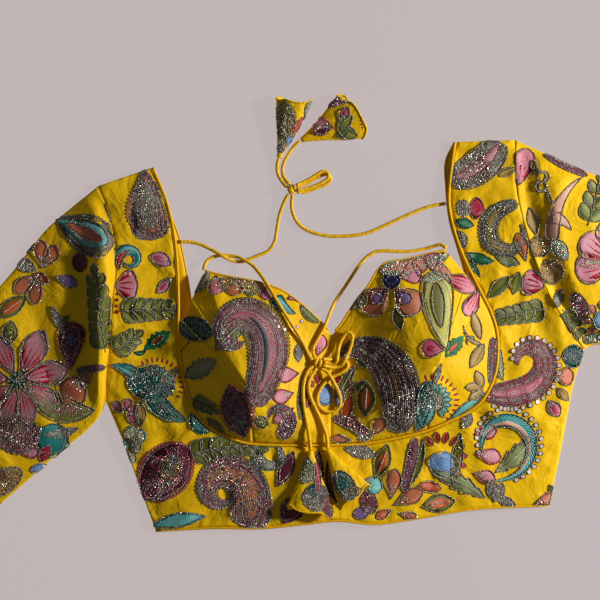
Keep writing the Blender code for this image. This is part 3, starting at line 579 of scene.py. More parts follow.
def front_point(i, v):
    """The top of the front body at section i, v from 0 at the neck seam to 1 at the outer edge."""
    start = curve_point(SEAM, i) + outward(i) * (SEAM_PIPING + GAP)
    end = curve_point(EDGE, i, CORNERS)
    low = min(int(i), LAST - 1)
    swell = SWELL[low] + (SWELL[low + 1] - SWELL[low]) * (i - low)
    point = start.lerp(end, v)
    point.z += swell * 4 * v * (1 - v) - band_fold(i, v)
    reach = (end - start).length
    for from_edge in (v * reach, (1 - v) * reach):
        if from_edge < SEAM_REACH:
            point.z -= SEAM_ROLL * (1 - from_edge / SEAM_REACH) ** 2
    return point


def back_point(i, v):
    """The top of the back panel at section i, v from 0 at its neck edge to 1 at its outer edge."""
    edge = curve_point(EDGE, i, CORNERS)
    edge.z = CLOTH
    return curve_point(BACK_NECK, i).lerp(edge, v)


def close_at_ends(count):
    """Steps from 0 to 1 that are closer together at both ends."""
    even = np.linspace(0, 1, count)
    return 0.45 * even + 0.55 * (0.5 - 0.5 * np.cos(math.pi * even))


def seam_puckers():
    """The gathers along the neck seam, the hem and the armholes."""
    sections = [k / SEAM_STEPS for k in range(SEAM_STEPS * LAST + 1)]
    seam = [curve_point(SEAM, i) for i in sections]
    ways = [outward(i) for i in sections]
    rows = puckers(seam, ways, 10, 20, 0.5, 3)
    edge = [curve_point(EDGE, i, CORNERS) for i in sections]
    rows += puckers(edge, [-way for way in ways], 9, 16, 0.45, 5)
    rows += puckers(edge, ways, 8, 22, 0.7, 7)
    return rows


GATHERS = seam_puckers()


def body_panels(silk, back_silk):
    """The U-shaped front body, with its creases, and the plain back panel."""
    steps, wide = FRONT_GRID
    fine = [k / steps for k in range(steps * LAST + 1)]
    across = close_at_ends(wide)
    rows = np.array([[front_point(i, v) for v in across] for i in fine])
    flat = rows.reshape(-1, 3)
    reach = 4 * across * (1 - across)
    hold = np.tile(np.clip(reach * 6, 0, 1), len(fine))
    lift = (FRONT_CREASE * relief(flat[:, :2], CREASES + GATHERS) + rumple(flat[:, :2], *FRONT_RUMPLE)) * hold
    flat[:, 2] = np.maximum(flat[:, 2] + lift, CLOTH + GAP + CLOTH)
    front, ground = shell("front_body_silk", rows, CLOTH, silk)
    settle(front, ["front_body"])
    steps, wide = BACK_GRID
    fine = [k / steps for k in range(steps * LAST + 1)]
    rows = np.array([[back_point(i, v) for v in close_at_ends(wide)] for i in fine])
    back, _ = shell("back_panel_silk", rows, CLOTH, back_silk)
    settle(back, ["back_panel"])
    return front, back, ground


def open_edge(side):
    """The cup's open edge, from its corner at the tie to the V between the cups."""
    cup = CUPS[side]
    points = [Vector(p) for p in (cup["corner"], *cup["edge"], SWEETHEART)]
    return [curve_point(points, k / SEAM_STEPS) for k in range(SEAM_STEPS * (len(points) - 1) + 1)]


def run(points, step=3.0):
    """Straight stretches through the points, cut into even steps."""
    out = [points[0]]
    for a, b in zip(points, points[1:]):
        count = max(1, round((b - a).length / step))
        out += [a.lerp(b, k / count) for k in range(1, count + 1)]
    return out


def cup_outline(side):
    """The outline of a cup's two pieces: lists of top points for the upper piece and for the side piece."""
    cup = CUPS[side]
    toward = 1 if side == "left" else -1
    middle = ROW["centre front"]

    def seam_run(start, end):
        """Points just inside the neck seam's piping."""
        count = max(2, round(abs(end - start) * SEAM_STEPS))
        rows = [start + (end - start) * k / count for k in range(count + 1)]
        inside, rise = SEAM_PIPING + 2 * GAP, Vector((0, 0, CUP_RISE))
        return [curve_point(SEAM, i) - outward(i) * inside + rise for i in rows]

    part = Vector((toward * CUP_GAP / 2, 0, 0))
    low = SEAM[middle] + Vector((0, SEAM_PIPING + 2 * GAP, CUP_RISE))
    dip, top = Vector(CENTRE_DIP), Vector(SWEETHEART)
    centre = run([point - part for point in (low, dip, top)])
    edge = open_edge(side)[-2::-1]
    low_side, high_side = (Vector(p) for p in cup["side"])
    seam_gap = (edge[-1] - high_side).normalized() * CUP_GAP
    step = SEAM_STEP * toward
    upper = seam_run(cup["seam_row"] + step, middle)[:-1] + centre + edge
    upper += run([edge[-1], high_side + seam_gap])[1:]
    seam = seam_run(cup["side_row"], cup["seam_row"] - step)
    lower = run([high_side - seam_gap, low_side, seam[0]])[:-1] + seam
    return upper, lower


def cup_rows(outline, tip, count, flatness):
    """Rows from a cup piece's outline in to its tip; flatness makes the middle of the piece run straighter."""
    rows = []
    for k in range(count):
        t = (k / count) ** 1.25
        dome, flat = 1 - (1 - t) ** DOME_POWER, t * t * (3 - 2 * t)
        row = []
        for j, point in enumerate(outline):
            place = j / (len(outline) - 1)
            straight = flatness * min(1.0, 5 * place, 5 * (1 - place))
            full = dome + (t - dome) * straight
            soft = max(0.0, 1 - abs(point.x - SWEETHEART[0]) / VALLEY)
            inner = point.lerp(tip, t)
            inner.z = point.z + (tip.z - point.z) * (full + (flat - full) * soft)
            edge = (inner - point).length
            if edge < SEAM_REACH:
                inner.z -= SEAM_ROLL * (1 - edge / SEAM_REACH) ** 2
            row.append(inner)
        rows.append(row)
    return np.array(rows)


def cups(silk):
    """The two padded pieces of each cup. Returns the ground that each cup's pieces give together."""
    grounds = {}
    for side, cup in CUPS.items():
        upper, lower = cup_outline(side)
        apex = Vector((*cup["apex"], APEX_HEIGHT))
        for name, outline, flatness in (("upper", upper, 0.15), ("side", lower, 0.75)):
            middle = outline[len(outline) // 2]
            back = Vector((middle.x - apex.x, middle.y - apex.y, 0)).normalized() * APEX_PART
            rows = cup_rows(outline, apex + back, CUP_ROWS, flatness)
            flat = rows.reshape(-1, 3)
            share = np.repeat(np.arange(CUP_ROWS) / CUP_ROWS, rows.shape[1])
            hold = np.clip(share * 12, 0, 1) * np.clip((1 - share) * 6, 0, 1)
            flat[:, 2] += (relief(flat[:, :2], CREASES) + rumple(flat[:, :2], *CUP_RUMPLE)) * hold
            key = f"cup_{name}_{side}"
            piece, ground = shell(f"{key}_silk", rows, PADDING, silk, tip=apex + back)
            settle(piece, [key])
            grounds[side] = grounds[side].join(ground) if side in grounds else ground
    return grounds


def sleeve_patch(side):
    """A function (u, v) for the sleeve in plan, u from its upper to its lower fold and v from the armhole."""
    sleeve = SLEEVES[side]
    first, last = sleeve["armhole"]

    def armhole(u):
        """A point of the armhole, just outside the body's edge."""
        i = first + (last - first) * u
        return curve_point(EDGE, i, CORNERS) + outward(i) * GAP

    def fold(start, points):
        """One fold of the sleeve in plan, as a function of v."""
        route = [start] + [Vector((*p, 0)) for p in points]
        fine = even_points([Vector((p.x, p.y, 0)) for p in route], 81)

        def at(v):
            k = min(int(v * 80), 79)
            return fine[k].lerp(fine[k + 1], v * 80 - k)

        return at

    upper, lower = fold(armhole(0), sleeve["upper"]), fold(armhole(1), sleeve["lower"])

    def place(u, v):
        """A patch blended between the armhole, the two folds and the hem."""
        start = armhole(u)
        start.z = 0
        corner_a, corner_b = upper(0), lower(0)
        end_a, end_b = upper(1), lower(1)
        return ((1 - v) * start + v * end_a.lerp(end_b, u) + (1 - u) * upper(v) + u * lower(v)
                - (1 - v) * corner_a.lerp(corner_b, u) - v * end_a.lerp(end_b, u))

    return place, armhole


def sleeve_height(side, u, v, armhole_height):
    """The top of a sleeve: a low rounded crown between its folds, that starts at the armhole's own height."""
    crown = table_value(SLEEVE_CROWNS[side], v)
    body = SLEEVE_FOLD + (crown - SLEEVE_FOLD) * (1 - abs(2 * u - 1) ** 2.6)
    t = min(1.0, v / ARMHOLE_BLEND)
    return armhole_height + (body - armhole_height) * t * t * (3 - 2 * t)


def sleeve(side, silk, piping):
    """One sleeve: a flattened tube with soft folds from the armhole to the hem, and its piped hem."""
    place, armhole = sleeve_patch(side)
    across, along = SLEEVE_GRID
    turns = 0.5 - 0.5 * np.cos(math.pi * np.linspace(0, 1, across + 1))
    round_off = SLEEVE_FOLD / 2
    tops, unders = [], []
    for k in range(along + 1):
        v = (k / along) ** 1.2
        wide = (place(1, v) - place(0, v)).length
        top, under = [], []
        for u in turns.tolist():
            point = place(u, v)
            from_fold = min(u, 1 - u) * wide
            bend = math.sqrt(max(0.0, 1 - (1 - min(1.0, from_fold / round_off)) ** 2))
            high = max(sleeve_height(side, u, v, armhole(u).z), SLEEVE_FOLD)
            top.append((point.x, point.y, round_off + (high - round_off) * bend))
            under.append((point.x, point.y, round_off * (1 - bend)))
        tops.append(top)
        unders.append(under[-2:0:-1])
    tops, unders = np.array(tops), np.array(unders)
    flat = tops.reshape(-1, 3)
    u_hold = np.clip(np.minimum(turns, 1 - turns) * 9, 0, 1)
    v_hold = np.clip(np.linspace(0, 1, along + 1) * 30, 0, 1)
    lift = SLEEVE_CREASE * relief(flat[:, :2], CREASES + GATHERS) + rumple(flat[:, :2], *SLEEVE_RUMPLE)
    flat[:, 2] += lift * np.outer(v_hold, u_hold).ravel()
    flat[:, 2] = np.maximum(flat[:, 2], SLEEVE_FOLD * np.tile(u_hold > 0.3, along + 1))
    size = tops.shape[1] + unders.shape[1]
    verts = np.concatenate([tops, unders], axis=1).reshape(-1, 3)
    obj = mesh_piece(f"sleeve_{side}_silk", verts, hoop_faces(along + 1, size), silk)
    outward_faces(obj)
    wall = obj.modifiers.new("wall", "SOLIDIFY")
    wall.thickness, wall.offset = CLOTH * MM, -1
    only(obj)
    bpy.ops.object.modifier_apply(modifier="wall")
    settle(obj, [f"sleeve_{side}"])

    hem = [Vector(p) for p in np.concatenate([tops[-1], unders[-1]])]
    hem_line = (hem[across] - hem[0]).normalized()
    away = Vector((hem_line.y, -hem_line.x, 0)) * (HEM_PIPING + GAP)
    if (away.x < 0) != (side == "left"):
        away = -away
    ring = [p + away + Vector((0, 0, HEM_PIPING * (1 - 2 * min(1.0, p.z / SLEEVE_FOLD)))) for p in hem]
    edge = tube_piece(f"sleeve_piping_{side}_cord", [ring], HEM_PIPING, 8, piping, closed=True)
    settle(edge, [f"sleeve_piping_{side}"])
    top_faces = grid_faces(along + 1, across + 1)
    return obj, edge, Ground(([Vector(p) for p in flat], top_faces))


def only(obj):
    """Selects one object and nothing else."""
    bpy.ops.object.select_all(action="DESELECT")
    obj.select_set(True)
    bpy.context.view_layer.objects.active = obj


def pipings(piping):
    """The pipings along the neck seam, the cups' open edges, the back neck and both layers of the hem."""
    made = {}

    def add(node, path, radius):
        """One piping along a path."""
        piece = tube_piece(f"{node}_cord", [path], radius, PIPING_SIDES, piping)
        made[node] = settle(piece, [node])

    sections = [k / SEAM_STEPS for k in range(SEAM_STEPS * LAST + 1)]
    add("neck_piping", [curve_point(SEAM, i) for i in sections], SEAM_PIPING)
    fine = [curve_point(BACK_NECK, i) for i in sections]
    back = []
    for k, here in enumerate(fine):
        ahead = fine[min(k + 1, len(fine) - 1)] - fine[max(k - 1, 0)]
        inward = Vector((-ahead.y, ahead.x, 0)).normalized()
        back.append(here + inward * BACK_PIPING + Vector((0, 0, BACK_PIPING - CLOTH)))
    add("back_neck_piping", back, BACK_PIPING)

    first, last = ROW["hem left"], ROW["hem right"]
    rows = [k / SEAM_STEPS for k in range(SEAM_STEPS * first, SEAM_STEPS * last + 1)]
    hem = [curve_point(EDGE, i, CORNERS) + Vector((0, -HEM_PIPING + GAP, -CLOTH / 2)) for i in rows]
    add("hem_piping_front", hem, HEM_PIPING)
    add("hem_piping_back", [Vector((p.x, p.y, BACK_PIPING)) for p in hem], BACK_PIPING)

    for side in CUPS:
        lean = 1 if side == "left" else -1
        points = open_edge(side)
        line = []
        for k, here in enumerate(points[:-4]):
            ahead = points[k + 1] - points[max(k - 1, 0)]
            off = Vector((-ahead.y, ahead.x, 0)).normalized() * lean
            line.append(here + off * (EDGE_PIPING - GAP) + Vector((0, 0, -EDGE_PIPING)))
        add(f"cup_piping_{side}", line, EDGE_PIPING)
    return made


# ---------------------------------------------------------------- ties, knots and latkans

def route_points(name):
    """A tie's route as a smooth line of even steps."""
    points = [Vector(p) for p in ROUTES[name]]
    length = sum((b - a).length for a, b in zip(points, points[1:]))
    return even_points(points, max(12, round(length / TIE_STEP)))


def ties(rolled):
    """The rolled silk cords."""
    made = {}
    for name in ROUTES:
        piece = tube_piece(f"{name}_cord", [route_points(name)], CORD / 2, TIE_SIDES, rolled, wobble=0.03)
        made[name] = settle(piece, [name])
    return made


def turn_path(centre, across, up, wide, tall, lean, count=26):
    """One turn of cord round a knot: a tilted oval in the plane of across and up."""
    axis = across.cross(up)
    out = []
    for k in range(count):
        a = 2 * math.pi * k / count
        out.append(centre + across * (wide * math.cos(a)) + up * (tall * math.sin(a))
                   + axis * (lean * math.sin(a)))
    return out


# Each knot: the way its turns are wound in plan (degrees), and its turns as (place along, wide, tall, lean).
KNOT_TURNS = {
    "knot_back": (25, [(-1.9, 3.0, 3.1, 0.5), (0.3, 3.3, 3.3, -0.5), (2.3, 2.8, 2.9, 0.9)]),
    "knot_front": (-20, [(-1.6, 2.8, 2.9, -0.7), (1.2, 2.9, 2.9, 0.8)]),
}


def knots(rolled):
    """The two bows' knots, as turns of cord pulled tight round a core."""
    for name, (centre, radius) in KNOTS.items():
        heading, turns = KNOT_TURNS[name]
        axis = Vector((math.cos(math.radians(heading)), math.sin(math.radians(heading)), 0))
        across, up = Vector((-axis.y, axis.x, 0)), Vector((0, 0, 1))
        middle = Vector(centre)
        paths = [turn_path(middle + axis * at, across, up, wide, tall, lean)
                 for at, wide, tall, lean in turns]
        knot_name = name.replace("knot", "bow_knot")
        body = tube_piece(knot_name, paths, CORD * 0.47, KNOT_SIDES, rolled, closed=True)
        core = [middle + axis * (radius * 0.72 * s) for s in (-1, -0.5, 0, 0.5, 1)]
        inner = tube_piece("knot_core", [core], 2.2, KNOT_SIDES, rolled)
        only(body)
        inner.select_set(True)
        bpy.ops.object.join()
        settle(body, [name])


def latkan(name, spec, finish):
    """A latkan: a flattened cone of folded silk whose open mouth runs out in lobes with a turned-over rim."""
    tip, mouth = Vector((*spec["tip"], 0)), Vector((*spec["mouth"], 0))
    along = (mouth - tip).normalized()
    across = Vector((-along.y, along.x, 0))
    length = (mouth - tip).length
    sides, count = LATKAN_GRID
    verts = []

    def lobe(turn):
        """How much further the cloth reaches at a turn round the mouth."""
        reach = 0.0
        for at, more in spec["lobes"]:
            apart = abs((turn - at + 180) % 360 - 180)
            reach += more * math.exp(-(apart / LOBE_SPREAD) ** 2)
        return reach

    for k in range(count + 1):
        s = k / count
        spread = table_value(LATKAN_SECTIONS, s)
        half = LATKAN_TIP + (spec["half"] - LATKAN_TIP) * spread
        tall = 2 * LATKAN_TIP + (spec["tall"] - 2 * LATKAN_TIP) * spread
        base = spec["under"][0] + (spec["under"][1] - spec["under"][0]) * s
        for j in range(sides):
            a = 2 * math.pi * j / sides
            fold = 1 + 0.07 * math.sin(3 * a + 2.2 * s) * s + 0.04 * math.sin(7 * a) * s
            low = max(-1.0, math.sin(a) * fold)
            point = tip + along * (length * s + lobe(math.degrees(a)) * s ** 3)
            point += across * ((half - 0.3) * math.cos(a) * min(fold, 1.04))
            verts.append(point + Vector((0, 0, base + tall / 2 * (1 + low * 0.98))))
    faces = hoop_faces(count + 1, sides)
    ground = Ground((verts, faces))
    rings = np.array(verts).reshape(count + 1, sides, 3)
    middle = rings.mean(axis=1, keepdims=True)
    share = np.linspace(0.4, 1 - LATKAN_WALL / spec["tall"] * 1.6, count + 1)
    inner = middle + (rings - middle) * share[:, None, None]
    inner[0] += np.array(along) * LATKAN_WALL
    every = np.vstack([rings.reshape(-1, 3), inner.reshape(-1, 3)])
    inside = len(verts)
    all_faces = faces + [(inside + b, inside + a, inside + d, inside + c) for a, b, c, d in faces]
    all_faces += [tuple(reversed(range(sides))), tuple(range(inside, inside + sides))]
    last = count * sides
    all_faces += [(last + j, last + (j + 1) % sides, inside + last + (j + 1) % sides, inside + last + j)
                  for j in range(sides)]
    obj = mesh_piece(name.replace("latkan", "latkan_cone"), every, all_faces, finish)
    outward_faces(obj)
    settle(obj, [name])
    return obj, ground, [Vector(point) for point in rings[-1]]


# ---------------------------------------------------------------- embroidery

COLOURS = {
    "amber": "C08A00", "ivory": "E8DCC0", "blush": "E8B49A", "pink": "DC8C9C",
    "dusty": "B47C84", "rose": "C8506E", "crimson": "B01034", "burgundy": "6A2038",
    "coral": "D47850", "orange": "D85C1C", "rust": "A8401A", "lilac": "8C6CA4", "mauve": "966A70",
    "plum": "5C3640", "navy": "1C1C58", "blue": "2C5CA8", "sky": "6C9CDC", "steel": "7C94A8",
    "turquoise": "6CC0C0", "teal": "14807C", "petrol": "0C4A4C", "emerald": "0C7040", "moss": "586A1C",
    "leaf": "98983E", "olive": "707424", "sage": "8C9660", "lime": "DCD870", "sand": "C8A868",
    "silver": "B4B0A4", "pewter": "7C766A", "antique": "8A826E", "gold": "B08A3C", "pearl": "F0E8D8",
}
# The mixed colours of the beads that fill a shape.
BEAD_MIXES = {
    "silver": ["silver", "silver", "pewter", "antique", "pearl"],
    "pewter": ["pewter", "antique", "silver", "petrol"],
    "mauve": ["mauve", "dusty", "mauve", "silver", "rose", "pewter"],
    "plum": ["plum", "burgundy", "mauve", "pewter", "silver", "rose"],
    "olive": ["olive", "sage", "silver", "antique", "gold"],
    "petrol": ["petrol", "teal", "pewter", "silver"],
    "bright": ["silver", "pearl", "pearl", "turquoise", "blush"],
    "rose": ["rose", "silver", "dusty", "crimson"],
    "mixed": ["silver", "gold", "coral", "silver", "sand", "petrol", "dusty"],
    "mauve-bands": ["silver", "mauve", "pewter", "silver", "rose", "mauve", "silver", "plum"],
    "dark-bands": ["silver", "plum", "pewter", "silver", "burgundy", "pewter", "silver", "plum"],
    "pewter-bands": ["pewter", "silver", "antique", "silver", "petrol"],
    "rose-bands": ["silver", "rose", "pewter", "silver", "dusty", "crimson"],
}
# How a shape's half width runs along its middle line: (sin(pi s^p))^q.
OUTLINES = {
    "leaf": (1.0, 0.9), "petal": (1.5, 0.8), "round": (1.6, 0.55), "drop": (0.52, 0.72),
    "stem": (1.0, 0.25), "horn": (0.36, 0.8), "oval": (1.0, 0.5), "paisley": (0.62, 0.55),
}
# Every kind of shape: its outline, and how it is worked, from the cloth up. A step is what is laid, in which
# colour or mix, and, unless it takes the whole shape, its share of the width and where it starts and ends.
RECIPES = """
coral petal: petal; patch coral; fill silver 0.6 0.08 0.52; patch ivory 0.22 0.14 0.4; edge antique
orange petal: petal; patch orange; patch coral 0.6 0.3 0.9; fill silver 0.5 0.06 0.45; edge antique
lilac petal: petal; patch lilac; fill silver 0.6 0.08 0.5; edge antique
pansy petal: round; patch coral; patch lilac 0.5 0.1 0.62; edge burgundy 0.52 0.1 0.62; edge antique;
    row silver 1 0.3 1
lotus petal: petal; patch pink; fill silver 0.7 0 0.5; patch steel 0.26 0.14 0.4; edge crimson
striped petal: petal; patch dusty; veins crimson 4 0.12 0.8; edge antique; row silver 0.92 0.2 0.9
bright striped petal: round; patch pink; veins crimson 4 0.1 0.86; edge antique
ruby petal: oval; patch crimson; edge gold
red bead: oval; patch crimson
pink bud: leaf; patch pink; patch rose 0.6 0.3 0.9; fill silver 0.5 0.05 0.4; edge antique
diamond bud: leaf; patch crimson; edge antique
burgundy bud: oval; patch burgundy; edge plum
green leaf: leaf; patch leaf; half moss; edge antique
dark leaf: leaf; patch olive; half moss; edge antique
emerald leaf: leaf; patch emerald; edge petrol
serrated leaf: leaf; patch emerald; patch orange 0.34 0.25 0.72; edge antique 0.36 0.25 0.72
olive leaf: leaf; patch olive; fill olive 0.7 0.1 0.9; edge antique
sage leaf: leaf; patch sage; spine silver 0 0.05 0.9; edge antique
ember leaf: leaf; patch olive; patch orange 0.66 0.12 0.88; spine silver 0 0.2 0.8; edge antique
gold leaf: leaf; patch sand; half gold; edge antique
silver leaf: leaf; patch pewter; fill silver 0.95 0 1; edge antique
bright leaf: leaf; patch sage; fill bright 0.8 0 1; edge antique
maroon leaf: leaf; patch burgundy; row silver 0.7 0.1 0.9; edge plum
turquoise strip: leaf; patch turquoise; row petrol 0.8 0.05 0.95; edge antique
dotted crescent: leaf; patch teal; row pearl 0.3 0.1 0.9; edge petrol
red crescent: leaf; patch coral; half crimson; edge antique
teal curl: horn; patch teal; half turquoise 0.8 0 0.9; edge antique
silver scroll: horn; patch pewter; fill silver 0.9 0 1; edge teal
gold scroll: horn; patch sand; row silver 0.7 0 1; edge antique
blush branch: horn; patch blush; row mauve 0.9 0 1; edge antique
olive crescent: leaf; patch olive; fill mauve 0.55 0.1 0.9; row silver 0.85 0.05 0.95; edge antique
turquoise drop: drop; patch antique; loops pewter 1.04 0.02 1; row silver 0.94 0 1; row pewter 0.84 0 1;
    patch turquoise 0.74 0.09 0.94; edge petrol 0.76 0.09 0.94; patch coral 0.36 0.17 0.8;
    edge antique 0.4 0.17 0.8; rungs rust 0.34 0.2 0.7
silver drop: drop; patch mauve; loops dusty 1.04 0.02 1; bands dark-bands 0.92 0 1; patch orange 0.7 0.1 0.9;
    patch pewter 0.56 0.14 0.84; fill silver 0.62 0.12 0.86
night paisley: drop; patch burgundy; fill plum 0.95 0 1; patch blue 0.3 0.2 0.5; edge crimson;
    row silver 0.7 0.1 0.9
mauve paisley: paisley; patch mauve; loops pewter 1.07 0.02 1; bands mauve-bands 0.97 0 1;
    patch dusty 0.46 0.08 0.78; rungs crimson 0.42 0.1 0.76; row silver 0.5 0.05 0.84;
    half petrol 0.26 0.14 0.62
orange paisley: horn; patch mauve; loops pewter 1.07 0.02 1; bands mauve-bands 0.97 0 1;
    patch coral 0.52 0.05 0.72; fill mixed 0.5 0.04 0.66; row burgundy 0.56 0.04 0.8
dark paisley: paisley; patch plum; loops pewter 1.07 0.02 1; bands dark-bands 0.97 0 1;
    half amber 0.16 0.2 0.55
olive paisley: drop; patch antique; loops antique 1.06 0.02 1; bands pewter-bands 0.97 0 1;
    patch amber 0.4 0.1 0.8; fill olive 0.36 0.1 0.7
peacock: drop; patch teal; fill pewter 0.8 0.05 1; patch petrol 0.4 0.15 0.9; fill petrol 0.4 0.1 0.9;
    row turquoise 0.95 0 1; edge petrol
mirror paisley: petal; patch teal; half blush 0.9 0 0.97; rungs turquoise 0.98 0.05 0.95; edge antique;
    mirrors burgundy 1.75 0.2 1
lime paisley: drop; patch lime; row pearl 0.86 0.03 0.97; patch sage 0.4 0.14 0.72; rungs gold 0.36 0.16 0.7;
    edge antique 0.42 0.14 0.72; edge antique
medallion: oval; patch burgundy; loops rose 1.02 0 1; row silver 0.9 0 1; row plum 0.8 0.02 0.98;
    fill mauve 0.76 0.05 0.95; patch navy 0.34 0.45 0.8; fill olive 0.4 0.4 0.85; edge crimson 0.44 0.4 0.86
shell: round; patch teal; veins turquoise 5 0.05 0.86; row silver 0.95 0.3 1; edge petrol
crust: oval; patch pewter; fill silver
mixed crust: oval; patch gold; fill mixed; edge antique
bright crust: oval; patch coral; fill bright; edge antique
mauve crust: oval; patch plum; fill mauve; edge plum
banded strip: stem; patch pewter; fill silver; patch pink 0.32 0.02 0.98; row crimson 0.34 0.02 0.98;
    row silver 0.1 0.02 0.98; edge antique
mauve strip: stem; patch plum; fill mauve; edge antique
blue diamond: oval; patch sky; row silver 0.5 0.1 0.9; edge silver
navy round: oval; patch navy; row navy 0.8 0.05 0.95; row pewter 0.45 0.2 0.8; edge antique
petrol round: oval; patch petrol; fill petrol 0.9 0 1; row silver 0.6 0.1 0.9; edge antique
stem: stem; spine antique 0 0 1; dots silver 0 0 1
orange heart: oval; patch orange; edge gold; edge antique 1.12 0 1
turquoise bud: petal; patch turquoise; fill silver 0.8 0 0.5; edge antique
rose bud: petal; patch rose; patch crimson 0.5 0.3 0.8; edge antique
plum leaf: leaf; patch plum; fill plum 0.95 0 1; row rose 0.86 0.05 0.95; patch petrol 0.4 0.05 0.4;
    fill petrol 0.5 0.02 0.4; edge crimson
small paisley: drop; patch plum; fill mauve; edge teal 0.5 0.05 0.85; row silver 0.9 0 1
rose paisley: paisley; patch mauve; bands rose-bands 0.97 0 1; patch pink 0.42 0.02 0.5;
    rungs crimson 0.4 0.04 0.45; mirrors burgundy 1.1 0.06 0.95
dark crust: petal; patch olive; fill olive; fill pewter 0.8 0.1 0.9
sage crust: petal; patch sage; rungs petrol 0.8 0.1 0.8; fill silver 0.9 0 1; edge antique
rose strip: stem; patch rose; fill rose; edge silver
"""
# Along some outlines: how many teeth, or how many scallops.
TEETH = {"serrated leaf": 6, "sage leaf": 5}
SCALLOPS = {"night paisley": 10, "shell": 8, "mixed crust": 9, "bright crust": 7, "mauve crust": 9,
            "petrol round": 10, "plum leaf": 8, "small paisley": 10}

THREAD = 0.62                  # radius of the metal thread round a shape
BEAD = 0.62                    # radius of the small beads
BAND_PITCH = 1.9               # between rows of beads worked side by side
FILL_PITCH = 1.8               # between beads that fill a shape
SPARKLE_PITCH = 1.9            # between the bright beads on a thread
LOOP_PITCH = 3.4               # between the rings of thread round a shape
LOOP = 1.9                     # their radius
MIRROR_PITCH = 6.6             # between the mirrors beside a shape
MIRROR = 2.8                   # their radius
STITCHED = 0.7                 # how far a satin-stitched shape stands up
KEEL = 0.9                     # how far its closed underside reaches into the cloth
PATCH_LIFT, HALF_LIFT, STRIP_LIFT = 0.28, 0.2, 0.15    # what each layer adds under the next


def read_styles(text):
    """Each kind of shape by its name: its outline, and its steps with their share, start and end."""
    styles = {}
    for line in text.replace(";\n", ";").strip().splitlines():
        name, recipe = line.split(": ")
        outline, *steps = recipe.split(";")
        words = [step.split() for step in steps]
        styles[name] = outline, [(*step[:2], *map(float, step[2:] or (1, 0, 1))) for step in words]
    return styles


STYLES = read_styles(RECIPES)


def travelled(path):
    """How far along a path (an array) each of its points is."""
    return np.concatenate([[0], np.cumsum(np.linalg.norm(np.diff(path, axis=0), axis=1))])


def spaced(path, pitch, least=3):
    """Places at even steps along a path in plan."""
    gone = travelled(path)
    marks = np.linspace(0, gone[-1], max(least, int(gone[-1] / pitch)))
    return np.stack([np.interp(marks, gone, path[:, k]) for k in (0, 1)], axis=1)


def colour(name):
    """A named colour in linear light."""
    code = COLOURS[name]
    parts = [int(code[k:k + 2], 16) / 255 for k in (0, 2, 4)]
    return np.array([c / 12.92 if c <= 0.04045 else ((c + 0.055) / 1.055) ** 2.4 for c in parts])


class Work:
    """The embroidery of one panel: stitched silk, metal thread and beads, laid on its ground."""

    def __init__(self, ground, seed):
        self.ground = ground
        self.draw = random.Random(seed)
        self.verts = {"silk": [], "thread": []}
        self.faces = {"silk": [], "thread": []}
        self.marks = {"silk": [], "thread": []}
        self.count = {"silk": 0, "thread": 0}
        self.beads = []
        self.mirrors = []
        self.rings = []
        self.lift = 0.0

    def add(self, kind, verts, faces, uv, tint):
        """Adds a stretch of mesh with a UV and a tint for each of its points."""
        self.verts[kind].append(verts)
        self.faces[kind] += [tuple(self.count[kind] + k for k in face) for face in faces]
        self.marks[kind].append(np.hstack([uv, tint]))
        self.count[kind] += len(verts)

    def cord(self, path, tint, radius=THREAD, lift=0.2, closed=True):
        """A metal thread couched along a path in plan."""
        spots, normals, inside = self.ground.land(path)
        if not inside.any():
            return
        ahead = np.roll(spots, -1, axis=0) - np.roll(spots, 1, axis=0)
        if not closed:
            ahead[0], ahead[-1] = spots[1] - spots[0], spots[-1] - spots[-2]
        side = np.cross(ahead, normals)
        side /= np.maximum(np.linalg.norm(side, axis=1, keepdims=True), 1e-6)
        base = spots + normals * (self.lift + lift)
        rings = np.stack([base - side * radius, base + normals * radius, base + side * radius], axis=1)
        count = len(path)
        faces = [(i * 3 + a, i * 3 + b, ((i + 1) % count) * 3 + b, ((i + 1) % count) * 3 + a)
                 for i in range(count if closed else count - 1) for a, b in ((0, 1), (1, 2), (2, 0))]
        if not closed:
            faces += [(2, 1, 0), (count * 3 - 3, count * 3 - 2, count * 3 - 1)]
        along = np.repeat(travelled(spots), 3)
        uv = np.stack([along, np.tile([0.0, 0.5, 1.0], count)], axis=1)
        self.add("thread", rings.reshape(-1, 3), faces, uv, np.tile(tint, (count * 3, 1)))

    def bead_at(self, path, tints, size=BEAD, lift=0.25):
        """Beads at places in plan, where they are on the panel."""
        for spot, normal, inside, tint in zip(*self.ground.land(path), tints):
            if inside:
                self.beads.append((spot + normal * (self.lift + lift), normal,
                                   size * self.draw.uniform(0.8, 1.2), tint))

    def mirror_at(self, x, y, size, ring):
        """A small mirror in a ring of thread."""
        hit = self.ground.under(x, y)
        if hit is not None:
            self.mirrors.append((np.array(hit[0]), np.array(hit[1]), size, colour(ring)))

    def ring_at(self, x, y, size, name):
        """A small ring of thread with nothing in it."""
        hit = self.ground.under(x, y)
        if hit is not None:
            spot, normal = np.array(hit[0]), np.array(hit[1])
            self.rings.append((spot + normal * 0.2, normal, size, colour(name) * self.draw.uniform(0.8, 1.15)))


